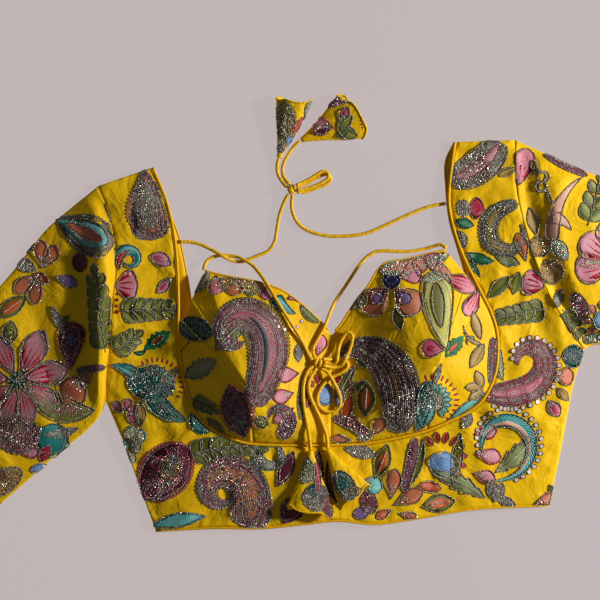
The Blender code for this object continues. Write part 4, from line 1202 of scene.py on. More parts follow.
class Shape:
    """A petal, leaf, paisley or stem: a middle line that may curl, with a half width along it."""

    def __init__(self, work, x, y, heading, length, width, style, curl=0.0, tight=1.0):
        self.work = work
        outline, self.steps = STYLES[style]
        self.count = int(min(64, max(9, length / 1.7)))
        s = np.linspace(0, 1, self.count)
        turn = math.radians(heading) + math.radians(curl) * s ** tight
        way = np.stack([np.cos(turn), np.sin(turn)], axis=1)
        step = length / (self.count - 1)
        between = (way[1:] + way[:-1]) / 2
        between /= np.linalg.norm(between, axis=1, keepdims=True)
        self.line = np.vstack([[x, y], np.array([x, y]) + np.cumsum(between * step, axis=0)])
        self.across = np.stack([-way[:, 1], way[:, 0]], axis=1)
        place, power = OUTLINES[outline]
        half = np.clip(np.sin(math.pi * s ** place), 0, 1) ** power
        half *= 1 - 0.38 * ((TEETH.get(style, 0) * s) % 1.0)
        if style in SCALLOPS:
            half *= 0.9 + 0.1 * np.abs(np.sin(math.pi * SCALLOPS[style] * s))
        self.reach = half * width / 2
        self.s, self.length, self.width = s, length, width

    def off_line(self, s, reach):
        """Places in plan at s along the shape and a reach in millimetres to its left."""
        line, across = (np.stack([np.interp(s, self.s, values[:, k]) for k in (0, 1)], axis=1)
                        for values in (self.line, self.across))
        return line + across * reach[:, None]

    def at(self, s, t):
        """Places in plan at s along the shape and t across it."""
        return self.off_line(s, np.interp(s, self.s, self.reach) * t)

    def sides(self, share, start, end):
        """The two sides of a part of the shape, each from its start to its end."""
        s = np.linspace(start, end, max(6, int(self.count * (end - start))))
        span = self.ends(s, start, end) * share
        return self.at(s, -span), self.at(s, span)

    def ends(self, s, start, end):
        """How much of the width a part of the shape keeps near its own ends."""
        if start <= 0 and end >= 1:
            return np.ones_like(s)
        place = np.clip((s - start) / (end - start), 0, 1)
        return np.sqrt(np.sin(math.pi * place).clip(0, 1))

    def lens(self, tint, share, start, end, side=0.0, height=STITCHED):
        """A raised patch of satin stitch with a closed underside; side 1 keeps to the shape's left half."""
        work = self.work
        rows = max(5, int(self.count * (end - start)))
        across = 6 if self.width * share > 9 else 4
        s = np.linspace(start, end, rows)
        t = np.linspace(-1, 1, across + 1)
        span = self.ends(s, start, end) * share
        t_low, t_high = (0.0, 1.0) if side else (-1.0, 1.0)
        sides = t_low + (t_high - t_low) * (t + 1) / 2
        spots, normals, inside = work.ground.land(
            self.at(np.repeat(s, across + 1), (span[:, None] * sides[None, :]).ravel()))
        if not inside.any():
            return
        dome = np.sqrt(np.clip(1 - t * t, 0, 1))
        width = np.interp(s, self.s, self.reach) * span
        full = np.clip(width / 2.0, 0, 1)
        rise = (full[:, None] * dome[None, :]).ravel() * height - 0.12 + work.lift
        verts = spots + normals * rise[:, None]
        size, last, middle = across + 1, (rows - 1) * (across + 1), across // 2
        inner = verts[size:last]
        keel = (spots - KEEL * normals)[size + middle:last:size]
        first_tip, last_tip, under = len(inner), len(inner) + 1, len(inner) + 2
        verts = np.vstack([inner, verts[middle], verts[last + middle], keel])
        faces = grid_faces(rows - 2, size)
        for i in range(rows - 3):
            left, right, low = i * size, i * size + across, under + i
            faces += [(right, right + size, low + 1, low), (low, low + 1, left + size, left)]
        end_row, low = (rows - 3) * size, under + rows - 3
        for j in range(across):
            faces += [(first_tip, j + 1, j), (last_tip, end_row + j, end_row + j + 1)]
        faces += [(first_tip, 0, under), (first_tip, under, across),
                  (last_tip, low, end_row), (last_tip, end_row + across, low)]
        uv = np.stack([np.repeat(s * self.length, size), (width[:, None] * sides[None, :]).ravel()], axis=1)
        uv = np.vstack([uv[size:last], uv[middle], uv[last + middle], uv[size + middle:last:size]])
        shade = np.clip(0.72 + 0.4 * np.repeat((s - start) / (end - start), size), 0, 1.1)
        shade = np.concatenate([shade[size:last], shade[[0, -1]], shade[size + middle:last:size]])
        work.add("silk", verts, faces, uv, tint[None, :] * shade[:, None] * work.draw.uniform(0.88, 1.08))

    def patch(self, name, share, start, end):
        """Stitched silk over the shape, or over a part of it."""
        self.lens(colour(name), share, start, end)
        self.work.lift += PATCH_LIFT

    def half(self, name, share, start, end):
        """Stitched silk over the shape's left half."""
        self.lens(colour(name), share, start, end, side=1.0)
        self.work.lift += HALF_LIFT

    def edge(self, name, share, start, end):
        """A metal thread all round the shape, or round a part of it."""
        there, back = self.sides(share, start, end)
        path = np.vstack([there, back[-2:0:-1]])
        self.work.cord(path, colour(name))
        if self.length > 12:
            self.sparkle(path)

    def sparkle(self, path):
        """Small bright beads spaced along a thread."""
        spots = spaced(path, SPARKLE_PITCH)
        tints = [colour(("silver", "pewter", "pearl")[k % 3]) for k in range(len(spots))]
        self.work.bead_at(spots, tints, BEAD * 0.82, 0.6)

    def loops(self, name, share, start, end):
        """Small rings of thread side by side round the shape."""
        there, back = self.sides(share, start, end)
        spots = spaced(np.vstack([there, back[::-1]]), LOOP_PITCH)
        for x, y in spots.tolist():
            self.work.ring_at(x, y, LOOP, name)
        self.work.bead_at(spots, [colour("silver")] * len(spots), BEAD * 1.1)

    def spine(self, name, share, start, end):
        """A metal thread down the middle."""
        s = np.linspace(start, end, max(4, int(self.count * (end - start))))
        self.work.cord(self.at(s, 0 * s), colour(name), closed=False, lift=0.35)

    def dots(self, name, share, start, end):
        """A few beads down the middle."""
        s = np.linspace(start, end, max(2, int(self.length / 3.2)))
        self.work.bead_at(self.at(s, 0 * s), [colour(name)] * len(s), BEAD * 0.9)

    def veins(self, name, count, start, end):
        """Thin stitched stripes that fan along the shape."""
        tint = colour(name)
        for k in range(int(count)):
            t = (k + 0.5) / count * 1.6 - 0.8
            s = np.linspace(start + 0.1 * abs(t), end - 0.25 * abs(t), 9)
            thick = np.sin(math.pi * np.linspace(0, 1, 9)) * self.width * 0.42 / count
            self.strip(self.at(s, t * np.ones(9)), thick, tint)
        self.work.lift += STRIP_LIFT

    def rungs(self, name, share, start, end):
        """Short stitched bars across the shape, side by side."""
        tint = colour(name)
        count = max(3, int(self.length * (end - start) / 3.4))
        for k in range(count):
            s = start + (end - start) * (k + 0.5) / count
            line = np.linspace(-1, 1, 5)
            span = float(self.ends(np.array([s]), start, end)[0]) * share
            thick = 0.75 * np.sqrt(1 - (0.95 * line) ** 2)
            self.strip(self.at(s + 0.05 * line, line * span), thick, tint)
        self.work.lift += STRIP_LIFT

    def strip(self, middle, thick, tint):
        """A narrow raised stitch along a line."""
        work = self.work
        count = len(middle)
        lean = np.gradient(middle, axis=0)
        lean /= np.maximum(np.linalg.norm(lean, axis=1, keepdims=True), 1e-6)
        normal = np.stack([-lean[:, 1], lean[:, 0]], axis=1)
        spots, normals, inside = work.ground.land(
            np.concatenate([middle - normal * thick[:, None], middle, middle + normal * thick[:, None]]))
        if not inside.all():
            return
        rise = np.repeat([-0.05, 0.42, -0.05], count) + work.lift
        verts = spots + normals * rise[:, None]
        faces = []
        for i in range(count - 1):
            for a, b in ((0, 1), (1, 2), (2, 0)):
                faces.append((a * count + i, b * count + i, b * count + i + 1, a * count + i + 1))
        faces += [(0, count, 2 * count), (3 * count - 1, 2 * count - 1, count - 1)]
        uv = np.stack([np.tile(np.arange(count), 3), np.repeat([0.0, 1.0, 2.0], count)], axis=1)
        work.add("silk", verts, faces, uv, np.tile(tint, (3 * count, 1)))

    def row(self, name, share, start, end, strays=()):
        """A row of beads along both sides of the shape, with some in the colours of the strays."""
        draw = self.work.draw
        for side in (-1, 1):
            s = np.linspace(start, end, 160)
            span = self.ends(s, start, end) * share * side
            gone = travelled(self.at(s, span))
            count = max(2, int(gone[-1] / (2.6 * BEAD)))
            marks = np.interp(np.linspace(0, gone[-1], count), gone, s)
            names = [draw.choice(strays) if strays and draw.random() < 0.45 else name for _ in range(count)]
            tints = [colour(each) * draw.uniform(0.55, 1.25) for each in names]
            self.work.bead_at(self.at(marks, np.interp(marks, s, span)), tints, BEAD * (1.25 if strays else 1))

    def bands(self, name, share, start, end):
        """Rows of beads side by side from the rim inwards, each in the next colour of a mix."""
        mix = BEAD_MIXES[name]
        count = max(2, round(self.width * share / (2 * BAND_PITCH)))
        for k in range(count):
            self.row(mix[k % len(mix)], share * (1 - (k + 0.5) / count), start, end, mix)

    def fill(self, name, share, start, end):
        """Beads all over a part of the shape."""
        mix = [colour(c) for c in BEAD_MIXES[name]]
        draw = self.work.draw
        rows = max(2, int(self.length * (end - start) / FILL_PITCH))
        marks, sides, tints = [], [], []
        for k in range(rows):
            s = start + (end - start) * (k + 0.5) / rows
            keep = float(self.ends(np.array([s]), start, end)[0])
            half = float(np.interp(s, self.s, self.reach)) * share * keep
            count = max(1, int(2 * half / FILL_PITCH + 0.5))
            for j in range(count):
                side = ((j + 0.5) / count * 2 - 1) if count > 1 else 0.0
                marks.append(min(1.0, max(0.0, s + draw.uniform(-0.3, 0.3) * FILL_PITCH / self.length)))
                sides.append((side + draw.uniform(-0.25, 0.25) / count) * share * 0.94)
                tints.append(mix[draw.randrange(len(mix))] * draw.uniform(0.7, 1.15))
        self.work.bead_at(self.at(np.array(marks), np.array(sides)), tints, BEAD * 1.25)

    def mirrors(self, name, share, start, end):
        """Small mirrors along the shape's outer side."""
        s = np.linspace(start, end, 120)
        path = self.off_line(s, -np.maximum(np.interp(s, self.s, self.reach) * share, 3.4))
        for x, y in spaced(path, MIRROR_PITCH, 2).tolist():
            self.work.mirror_at(x, y, MIRROR, name)

    def sew(self):
        """Works the shape, step by step: each step has the name of the way it is laid."""
        self.work.lift = 0.0
        for way, name, share, start, end in self.steps:
            getattr(self, way)(name, share, start, end)
        self.work.lift = 0.0


def single(work, x, y, heading, length, width, style, curl=0.0, tight=1.0):
    """One shape."""
    Shape(work, x, y, heading, length, width, style, curl, tight).sew()


def flower(work, x, y, headings, inner, length, width, style, heart="crust", heart_size=7.0):
    """Petals round a heart; headings gives each petal's direction."""
    for heading in headings:
        a = math.radians(heading)
        single(work, x + inner * math.cos(a), y + inner * math.sin(a), heading,
               length * work.draw.uniform(0.92, 1.06), width, style, work.draw.uniform(-14, 14))
    if heart:
        single(work, x - heart_size / 2, y, 0, heart_size, heart_size, heart)


def spray(work, x, y, heading, length, pairs, leaf, wide, style, curl=0.0, tip=True):
    """A stem with pairs of leaves."""
    stem = Shape(work, x, y, heading, length, 1.0, "stem", curl)
    stem.sew()
    for k in range(pairs):
        s = (k + 0.35) / (pairs + 0.3)
        base = stem.at(np.array([s]), np.array([0.0]))
        turn = heading + curl * s
        size = leaf * (1.08 - 0.35 * k / pairs)
        for side in (-1, 1):
            single(work, *base[0], turn + side * 50, size, wide * size / leaf, style, -side * 30)
    if tip:
        end = stem.at(np.array([0.97]), np.array([0.0]))
        single(work, *end[0], heading + curl, leaf * 0.7, wide * 0.7, style)


def mirror_arc(work, x, y, radius, first, last, count, size, name):
    """Mirrors set along an arc."""
    for k in range(count):
        a = math.radians(first + (last - first) * k / (count - 1))
        work.mirror_at(x + radius * math.cos(a), y + radius * math.sin(a), size, name)


def fringe(work, x, y, radius, first, last, count, length, width, style):
    """Short petals that stand out from an arc, like a crest."""
    for k in range(count):
        heading = first + (last - first) * k / (count - 1)
        a = math.radians(heading)
        single(work, x + radius * math.cos(a), y + radius * math.sin(a), heading, length, width, style)


def string(work, x, y, heading, length, count, size, name):
    """Larger beads in a straight line."""
    a = math.radians(heading)
    for k in range(count):
        s = length * k / (count - 1)
        work.bead_at([(x + s * math.cos(a), y + s * math.sin(a))], [colour(name)], size)


# What each panel carries. A row of numbers is one shape: where it starts (x y), its heading, length, width,
# style and curl. Any other row names its maker first.
MOTIFS = {
    "sleeve_left": [
        (-213, 84, 154, 62, 38, "turquoise drop"), (-243, 60, 100, 18, 15, "burgundy bud"),
        (flower, -280, 60, (97, 62), 4, 27, 15, "coral petal", None),
        (flower, -280, 60, (212, 250), 5, 27, 15, "coral petal", None), (-268, 56, -22, 23, 12, "lilac petal"),
        (-286, 62, 158, 22, 13, "silver leaf"), (-288, 59, -35, 17, 8, "orange heart"),
        (-324, 16, 36, 36, 16, "ember leaf"), (-260, 2, 114, 28, 8, "silver leaf"),
        (-264, 8, 50, 14, 7, "dark leaf"), (-250, 12, 256, 44, 27, "night paisley", 20),
        (spray, -220, -16, 97, 74, 6, 18, 12, "dark leaf"), (-303, -43, 63, 54, 25, "striped petal"),
        (-303, -43, 13, 50, 24, "striped petal"),
        (flower, -303, -43, (-34, -70, -105, -145), 5, 40, 19, "striped petal", None),
        (flower, -303, -43, (172, 122), 5, 44, 22, "striped petal", None),
        (flower, -303, -43, (0, 60, 120, 180, 240, 300), 2, 8, 5.5, "emerald leaf", "crust", 9),
        (-312, -10, 84, 24, 15, "olive leaf"), (-293, -50, -50, 70, 26, "olive crescent", 64),
        (-256, -119, 128, 40, 34, "shell"), (-282, -120, 62, 18, 11, "diamond bud"),
        (-292, -128, 10, 18, 9, "blue diamond"), (-238, -36, 232, 36, 30, "coral petal"),
        (-240, -50, 84, 18, 13, "coral petal"), (-248, -34, 8, 28, 7, "mauve strip"),
        (-326, -96, 4, 44, 38, "mauve crust"),
        (flower, -310, -92, (40, 100, 160, 220, 280, 340), 3, 10, 7, "olive leaf", "crust", 6),
        (-300, -128, 212, 44, 24, "mixed crust"), (-302, -112, 10, 20, 14, "lotus petal"),
        (-246, -88, 205, 34, 9, "silver leaf", -30), (spray, -288, 92, 214, 26, 2, 12, 7, "dark leaf"),
        (-236, 112, 205, 22, 9, "olive leaf"),
        (flower, -372, -60, (20, 80, 140, 200, 260, 320), 5, 27, 15, "coral petal", "crust", 10),
        (-344, 2, 238, 52, 26, "mauve paisley", -150, 2.0),
        (spray, -336, -138, 128, 50, 3, 14, 9, "green leaf"), (-392, -84, 310, 40, 20, "silver drop"),
        (-398, -40, 240, 30, 14, "turquoise strip"), (-358, -104, 300, 34, 14, "serrated leaf"),
    ],
    "front_body": [
        (-176, 90, 97, 68, 42, "silver drop"), (-216, 106, 106, 20, 6, "red crescent", 40),
        (-211, 68, 74, 52, 12, "teal curl", -330, 1.5), (-206, 62, 110, 22, 6, "red crescent", -90),
        (-158, 66, 142, 22, 14, "pink bud", 30), (-159, 55, 245, 20, 10, "pink bud", -30),
        (-211, 47, 0, 22, 30, "bright striped petal"), (string, -209, 39, 270, 17, 4, 1.9, "crimson"),
        (spray, -207, 23, 2, 50, 5, 17, 11, "green leaf"), (spray, -213, -16, 35, 26, 3, 15, 10, "green leaf"),
        (-158, 4, 214, 32, 19, "serrated leaf"), (-182, -14, 235, 12, 4, "emerald leaf", -90),
        (-200, -42, -8, 46, 36, "petrol round"), (-192, -38, 138, 26, 13, "teal curl", 40),
        (fringe, -172, -47, 9, -30, 120, 9, 10, 4.2, "turquoise strip"),
        (fringe, -172, -47, 21, -28, 122, 14, 6, 2.4, "red bead"), (-178, -54, -62, 46, 19, "peacock", 50),
        (flower, -202, -74, (70, 20, -30, 140), 2, 13, 10, "bright striped petal", None),
        (-187, -62, 272, 24, 10, "gold leaf"), (spray, -188, -84, 250, 40, 3, 14, 10, "bright leaf"),
        (-184, -152, 48, 62, 46, "medallion"), (-186, -156, 40, 26, 18, "maroon leaf"),
        (-166, -158, 80, 22, 14, "maroon leaf"), (-178, -182, 17, 54, 14, "turquoise strip", -12),
        (-139, -74, 285, 26, 13, "dotted crescent", 60), (-150, -32, 215, 22, 9, "olive leaf"),
        (spray, -141, -114, 22, 68, 7, 16, 10.5, "dark leaf", -32),
        (-86, -182, 74, 132, 42, "orange paisley", 375, 1.8),
        (-78, -106, 272, 60, 11, "silver scroll", 300, 1.4), (-42, -110, 246, 36, 14, "maroon leaf"),
        (-52, -178, 58, 32, 22, "maroon leaf"), (-18, -108, 262, 60, 16, "maroon leaf"),
        (-8, -112, 282, 54, 18, "maroon leaf"), (6, -107, -12, 32, 13, "silver leaf"),
        (35, -136, 64, 35, 15, "ember leaf", 12), (21, -138, -18, 22, 19, "turquoise bud"),
        (26, -148, -72, 22, 16, "mauve crust"), (50, -155, 82, 29, 15, "coral petal"),
        (53, -161, 28, 31, 15, "coral petal"), (52, -165, 205, 18, 9, "orange petal"),
        (58, -168, -18, 18, 9, "coral petal"), (34, -164, 200, 21, 12, "lilac petal"),
        (73, -97, 262, 52, 10, "mauve strip", -8), (81, -98, 268, 48, 6, "dark leaf", -30),
        (86, -117, -22, 30, 25, "blue diamond"), (fringe, 98, -116, 14, 126, -44, 8, 11, 5.4, "ruby petal"),
        (116, -92, 262, 50, 11, "olive leaf"), (128, -94, 12, 23, 15, "lotus petal"),
        (130, -112, -10, 25, 15, "lotus petal"), (128, -130, -18, 22, 13, "lotus petal"),
        (118, -88, 60, 16, 10, "silver leaf"), (88, -128, -20, 58, 18, "sage leaf", -14),
        (76, -142, -8, 22, 10, "orange heart"), (80, -162, 10, 32, 18, "ember leaf"),
        (142, -138, -58, 22, 13, "silver leaf"), (148, -158, 66, 20, 11, "silver leaf"),
        (150, -154, -22, 20, 9, "silver leaf"), (139, -137, -8, 144, 13, "mirror paisley", 296, 1.3),
        (190, -90, 236, 58, 20, "sage leaf", -24), (200, -62, -58, 18, 13, "pink bud"),
        (186, -160, 14, 24, 15, "coral petal"), (200, -142, -58, 12, 6, "dark leaf"),
        (140, -56, 0, 118, 28, "rose paisley", 300, 2.3), (154, -14, 244, 30, 13, "sage leaf", 60),
        (212, -20, 0, 22, 22, "petrol round"), (204, -40, 4, 20, 18, "coral petal"),
        (208, -50, 310, 16, 8, "gold leaf"), (spray, 198, 25, 190, 48, 5, 15, 10, "dark leaf"),
        (195, 46, 164, 22, 25, "bright striped petal"), (172, 67, 160, 24, 12, "dark leaf"),
        (171, 60, 256, 22, 11, "dark leaf"), (162, 56, 226, 29, 12, "dark leaf"),
        (178, 70, 106, 28, 12, "orange petal"), (170, 124, 188, 104, 17, "olive paisley", 300, 1.4),
        (107, 149, 6, 60, 32, "banded strip", 62), (111, 120, 0, 15, 18, "crust"),
        (123, 121, -6, 16, 21, "diamond bud"), (111, 108, -14, 18, 10, "emerald leaf"),
        (114, 99, -70, 18, 11, "silver leaf"), (121, 78, -32, 28, 10, "emerald leaf", 30),
        (124, 72, -58, 20, 4.5, "emerald leaf"), (168, 158, 205, 18, 8, "gold leaf"),
    ],
    "cup_left": [
        (-122, 50, -4, 60, 13, "mixed crust"), (-136, 40, 52, 24, 10, "bright leaf"),
        (-115, 56, 266, 18, 15, "bright striped petal"), (-98, 53, 268, 16, 19, "orange petal"),
        (-81, 50, 262, 14, 15, "olive leaf"), (-66, 47, 262, 14, 14, "lotus petal"),
        (-88, 12, 214, 38, 22, "sage leaf", 20), (-80, -66, 68, 154, 37, "mauve paisley", 335, 2.6),
        (-60, 36, -58, 26, 13, "teal curl", 40), (-48, 34, 20, 16, 10, "lotus petal"),
        (mirror_arc, -47, 19, 14, 150, 335, 8, 1.9, "crimson"), (-36, 28, -44, 24, 10, "dark leaf"),
        (-151, 10, -14, 34, 24, "petrol round"), (string, -150, -18, 52, 14, 5, 1.2, "crimson"),
        (-146, -40, 28, 36, 20, "sage leaf"), (spray, -138, -60, -26, 24, 3, 10, 7, "dark leaf"),
        (-88, -96, 106, 52, 34, "plum leaf"), (-80, -80, -12, 15, 13, "olive leaf"),
        (-37, -36, 184, 21, 15, "lotus petal"), (-42, -54, 196, 20, 14, "lotus petal"),
        (-42, -68, 216, 23, 11, "lotus petal"), (-30, -34, 262, 46, 10, "olive leaf"),
        (fringe, -14, -58, 13, 110, 205, 5, 9, 5, "ruby petal"), (-20, -56, 0, 15, 22, "blue diamond"),
        (-20, -20, 74, 21, 12, "lotus petal"), (-38, -8, 272, 17, 8, "silver leaf"),
        (-56, -96, 40, 50, 18, "small paisley", 240, 1.6), (-104, -90, 30, 18, 6, "silver leaf"),
        (-124, -78, -40, 22, 8, "dark leaf"),
    ],
    "cup_right": [
        (40, 60, 14, 50, 17, "bright crust"), (84, 72, -40, 30, 12, "bright crust"),
        (47, 44, 222, 32, 28, "pansy petal"), (53, 44, -44, 32, 28, "pansy petal"),
        (58, 54, 18, 22, 20, "lotus petal"), (41, 52, 0, 18, 18, "navy round"),
        (53, 26, 286, 22, 10, "dark leaf"), (76, 55, 80, 18, 15, "coral petal"),
        (90, 60, 96, 20, 15, "lotus petal"), (78, 52, 12, 26, 11, "bright leaf"),
        (88, 70, 20, 18, 9, "bright leaf"), (93, 59, 268, 72, 30, "lime paisley", 16),
        (99, 55, -18, 34, 18, "bright striped petal"), (133, 42, 240, 27, 15, "bright striped petal"),
        (134, -4, 106, 28, 9, "gold leaf"), (137, -8, 240, 26, 11, "gold leaf"),
        (134, -8, 174, 26, 3.5, "gold scroll", -80), (128, -4, 120, 14, 3, "gold scroll", 200),
        (flower, 138, -50, (170, 122, 214), 2, 18, 9, "gold leaf", None), (99, -14, 172, 22, 18, "rose bud"),
        (99, -21, 48, 28, 17, "serrated leaf"), (96, -26, 252, 22, 5, "silver leaf"),
        (57, -92, 86, 122, 38, "dark paisley", 150, 2.2), (79, -62, 0, 19, 18, "crust"),
        (fringe, 88, -62, 9, -52, 104, 9, 10, 4.4, "turquoise strip"),
        (fringe, 88, -62, 20, -48, 106, 13, 7, 2.6, "red bead"), (90, -44, 236, 44, 18, "peacock", 40),
        (74, -90, 66, 36, 18, "turquoise strip"), (102, -84, 40, 48, 9, "turquoise strip"),
        (6, -80, 76, 24, 10, "orange heart"), (26, -77, 88, 34, 17, "ember leaf"),
        (20, -95, 112, 21, 13, "coral petal"), (30, -95, 50, 23, 13, "coral petal"),
        (13, -99, 176, 19, 9, "coral petal"), (18, -97, 0, 14, 9, "crust"), (-2, -60, 60, 36, 12, "sage leaf"),
        (16, -22, -38, 15, 5, "dark leaf"), (7, -54, 28, 24, 7, "dark leaf"),
        (-4, -58, 0, 10, 20, "blue diamond"), (fringe, -4, -58, 12, 78, 20, 3, 10, 6, "ruby petal"),
        (-4, -78, -18, 36, 10, "mauve strip", -12), (12, 24, 70, 16, 8, "silver leaf"),
        (146, -2, 268, 44, 8, "mauve strip"), (26, 40, 250, 16, 8, "olive leaf"),
    ],
    "sleeve_right": [
        (195, 171, -26, 46, 9, "mauve crust"), (171, 142, 76, 36, 22, "bright striped petal"),
        (190, 152, 116, 15, 7, "gold leaf"), (193, 145, 178, 24, 3.5, "gold scroll", 300),
        (194, 145, 8, 24, 3.5, "gold scroll", 290), (202, 124, 108, 22, 2.5, "gold scroll"),
        (203, 88, 98, 72, 13, "blush branch", -66), (203, 112, -16, 22, 11, "blush branch", -40),
        (188, 95, 104, 27, 12, "gold leaf"), (180, 84, 0, 22, 21, "mixed crust"),
        (190, 60, 0, 24, 25, "mixed crust"), (202, 92, -56, 26, 14, "bright leaf"),
        (spray, 236, 104, 74, 44, 3, 17, 11, "green leaf"),
        (flower, 264, 70, (150, 196), 6, 36, 30, "bright striped petal", None),
        (flower, 264, 70, (104, 52, 4, -44, -86), 6, 34, 27, "bright striped petal", "petrol round", 13),
        (228, 66, 10, 26, 9, "bright leaf"), (222, 40, -62, 28, 15, "mauve crust"),
        (212, 44, 250, 20, 10, "silver leaf"),
        (flower, 250, 14, (0, 45, 90, 135, 180, 225, 270, 315), 8, 11, 8, "coral petal", None),
        (241, 14, 0, 18, 18, "blue diamond"), (spray, 212, 24, -52, 34, 3, 12, 8, "dark leaf"),
        (232, -4, 6, 20, 9, "bright leaf"), (352, 4, 118, 118, 40, "mauve paisley", 290, 2.2),
        (spray, 296, 116, -14, 60, 4, 14, 9, "green leaf"),
        (flower, 372, 66, (20, 80, 140, 200, 260, 320), 5, 24, 14, "coral petal", "crust", 10),
        (296, 18, 300, 44, 24, "night paisley", 30), (384, 10, 250, 48, 26, "turquoise drop"),
        (318, 100, 300, 24, 15, "lotus petal"), (404, 50, 250, 28, 12, "ember leaf"),
        (340, -30, 190, 38, 14, "serrated leaf"), (268, 134, -28, 30, 14, "silver leaf"),
        (270, -6, 340, 28, 14, "shell"),
    ],
    "latkan_back_left": [
        (-54, 176, 84, 46, 26, "dark crust"), (fringe, -44, 186, 2, 118, 60, 3, 22, 7, "ruby petal"),
        (-50, 182, 8, 16, 14, "blue diamond"), (-56, 172, 70, 12, 10, "crust"),
        (-30, 202, 74, 26, 10, "bright leaf"),
    ],
    "latkan_back_right": [
        (-10, 216, 26, 42, 9, "mauve crust"), (-24, 191, 20, 18, 10, "maroon leaf"),
        (-4, 196, 170, 20, 17, "lotus petal"), (2, 202, 60, 16, 10, "pink bud"),
        (0, 196, 40, 18, 11, "green leaf"), (0, 195, -20, 20, 12, "green leaf"),
        (-2, 188, 20, 12, 6, "dark leaf"), (string, 20, 222, -82, 26, 9, 1.1, "rose"),
    ],
    "latkan_front_left": [
        (-28, -114, 262, 26, 20, "sage crust"), (-21, -120, 276, 30, 6, "rose strip"),
        (-32, -150, 0, 22, 22, "petrol round"), (-34, -148, 320, 26, 18, "crust"),
        (-15, -146, 286, 28, 10, "mauve crust"),
    ],
    "latkan_front_right": [
        (-2, -128, 300, 32, 20, "petrol round"), (2, -150, 10, 22, 10, "mixed crust"),
    ],
}


# ---------------------------------------------------------------- embroidery, as pieces

def stamped(form, facets, spots, normals, sizes, tints, draw):
    """Copies of a small form, each at its spot, its size and a turn of its own: points, faces and marks."""
    count = len(spots)
    normals = normals / np.linalg.norm(normals, axis=1, keepdims=True)
    first = np.cross(normals, np.tile([0.31, 0.83, 0.47], (count, 1)))
    first /= np.linalg.norm(first, axis=1, keepdims=True)
    second = np.cross(normals, first)
    spin = np.array([draw.uniform(0, 2 * math.pi) for _ in range(count)])[:, None]
    first, second = (first * np.cos(spin) + second * np.sin(spin),
                     second * np.cos(spin) - first * np.sin(spin))
    verts = spots[:, None] + sizes[:, None, None] * (
        first[:, None] * form[None, :, :1] + second[:, None] * form[None, :, 1:2]
        + normals[:, None] * form[None, :, 2:])
    faces = [tuple(k * len(form) + j for j in facet) for k in range(count) for facet in facets]
    marks = np.hstack([np.tile(form[:, :2], (count, 1)), np.repeat(tints, len(form), axis=0)])
    return verts.reshape(-1, 3), faces, marks


def ring_points(sides, radius, height):
    """A level ring of points."""
    return [(radius * math.cos(2 * math.pi * j / sides), radius * math.sin(2 * math.pi * j / sides), height)
            for j in range(sides)]


def bead_form():
    """A cut bead: six sides with a blunt point above and below."""
    facets = [(j, (j + 1) % 6, 6) for j in range(6)] + [((j + 1) % 6, j, 7) for j in range(6)]
    return np.array(ring_points(6, 1.0, 0.0) + [(0, 0, 0.85), (0, 0, -0.5)]), facets


def mirror_form():
    """A mirror's thin disc."""
    sides = 12
    facets = [tuple(range(sides)), tuple(range(2 * sides - 1, sides - 1, -1))]
    facets += [(sides + j, sides + (j + 1) % sides, (j + 1) % sides, j) for j in range(sides)]
    return np.array(ring_points(sides, 0.72, 0.3) + ring_points(sides, 0.78, -0.15)), facets


def ring_form(sides):
    """A ring of thread."""
    form = (ring_points(sides, 1.0, -0.1) + ring_points(sides, 0.84, 0.42) + ring_points(sides, 0.66, 0.05))
    facets = [(a * sides + j, a * sides + (j + 1) % sides, b * sides + (j + 1) % sides, b * sides + j)
              for a, b in ((0, 1), (1, 2), (2, 0)) for j in range(sides)]
    return np.array(form), facets


def marked_piece(name, verts, faces, marks, finish, smooth):
    """A mesh piece whose points carry a UV and a tint."""
    obj = mesh_piece(name, verts, faces, finish, smooth)
    mesh = obj.data
    corners = np.empty(len(mesh.loops), dtype=np.int32)
    mesh.loops.foreach_get("vertex_index", corners)
    layer = mesh.uv_layers.new(name="UVMap")
    layer.data.foreach_set("uv", marks[corners, :2].astype(np.float32).ravel())
    tints = np.ones((len(verts), 4), dtype=np.float32)
    tints[:, :3] = marks[:, 2:5]
    mesh.color_attributes.new("tint", "FLOAT_COLOR", "POINT").data.foreach_set("color", tints.ravel())
    outward_faces(obj)
    return obj


def embroider(panel, ground, finishes):
    """Works one panel's motifs, and gives the pieces that lie on it."""
    work = Work(ground, 11 + sorted(MOTIFS).index(panel))
    for row in MOTIFS[panel]:
        maker, *values = row if callable(row[0]) else (single, *row)
        maker(work, *values)
    made = []
    for kind, name in (("silk", "applique"), ("thread", "zari")):
        if work.verts[kind]:
            made.append(marked_piece(f"{name}_{panel}", np.vstack(work.verts[kind]), work.faces[kind],
                                     np.vstack(work.marks[kind]), finishes[kind], True))
    stamps = []
    if work.beads:
        stamps.append((*bead_form(), work.beads))
    if work.mirrors:
        # painted reflection: each mirror's silvered glass is given a pale pearl colour, standing for the bright
        # room that it would reflect
        glass = [(spot, normal, size, colour("pearl")) for spot, normal, size, _ in work.mirrors]
        stamps += [(*mirror_form(), glass), (*ring_form(12), work.mirrors)]
    if work.rings:
        stamps.append((*ring_form(7), work.rings))
    verts, faces, marks, start = [], [], [], 0
    for form, facets, rows in stamps:
        spots, normals, sizes, tints = (np.array(column) for column in zip(*rows))
        some, more, shades = stamped(form, facets, spots, normals, sizes, tints, work.draw)
        verts.append(some)
        faces += [tuple(start + k for k in face) for face in more]
        marks.append(shades)
        start += len(some)
    if verts:
        made.append(marked_piece(f"beads_{panel}", np.vstack(verts), faces, np.vstack(marks), finishes["bead"],
                                 False))
    for piece in made:
        settle(piece, [])
    return made


# ---------------------------------------------------------------- materials

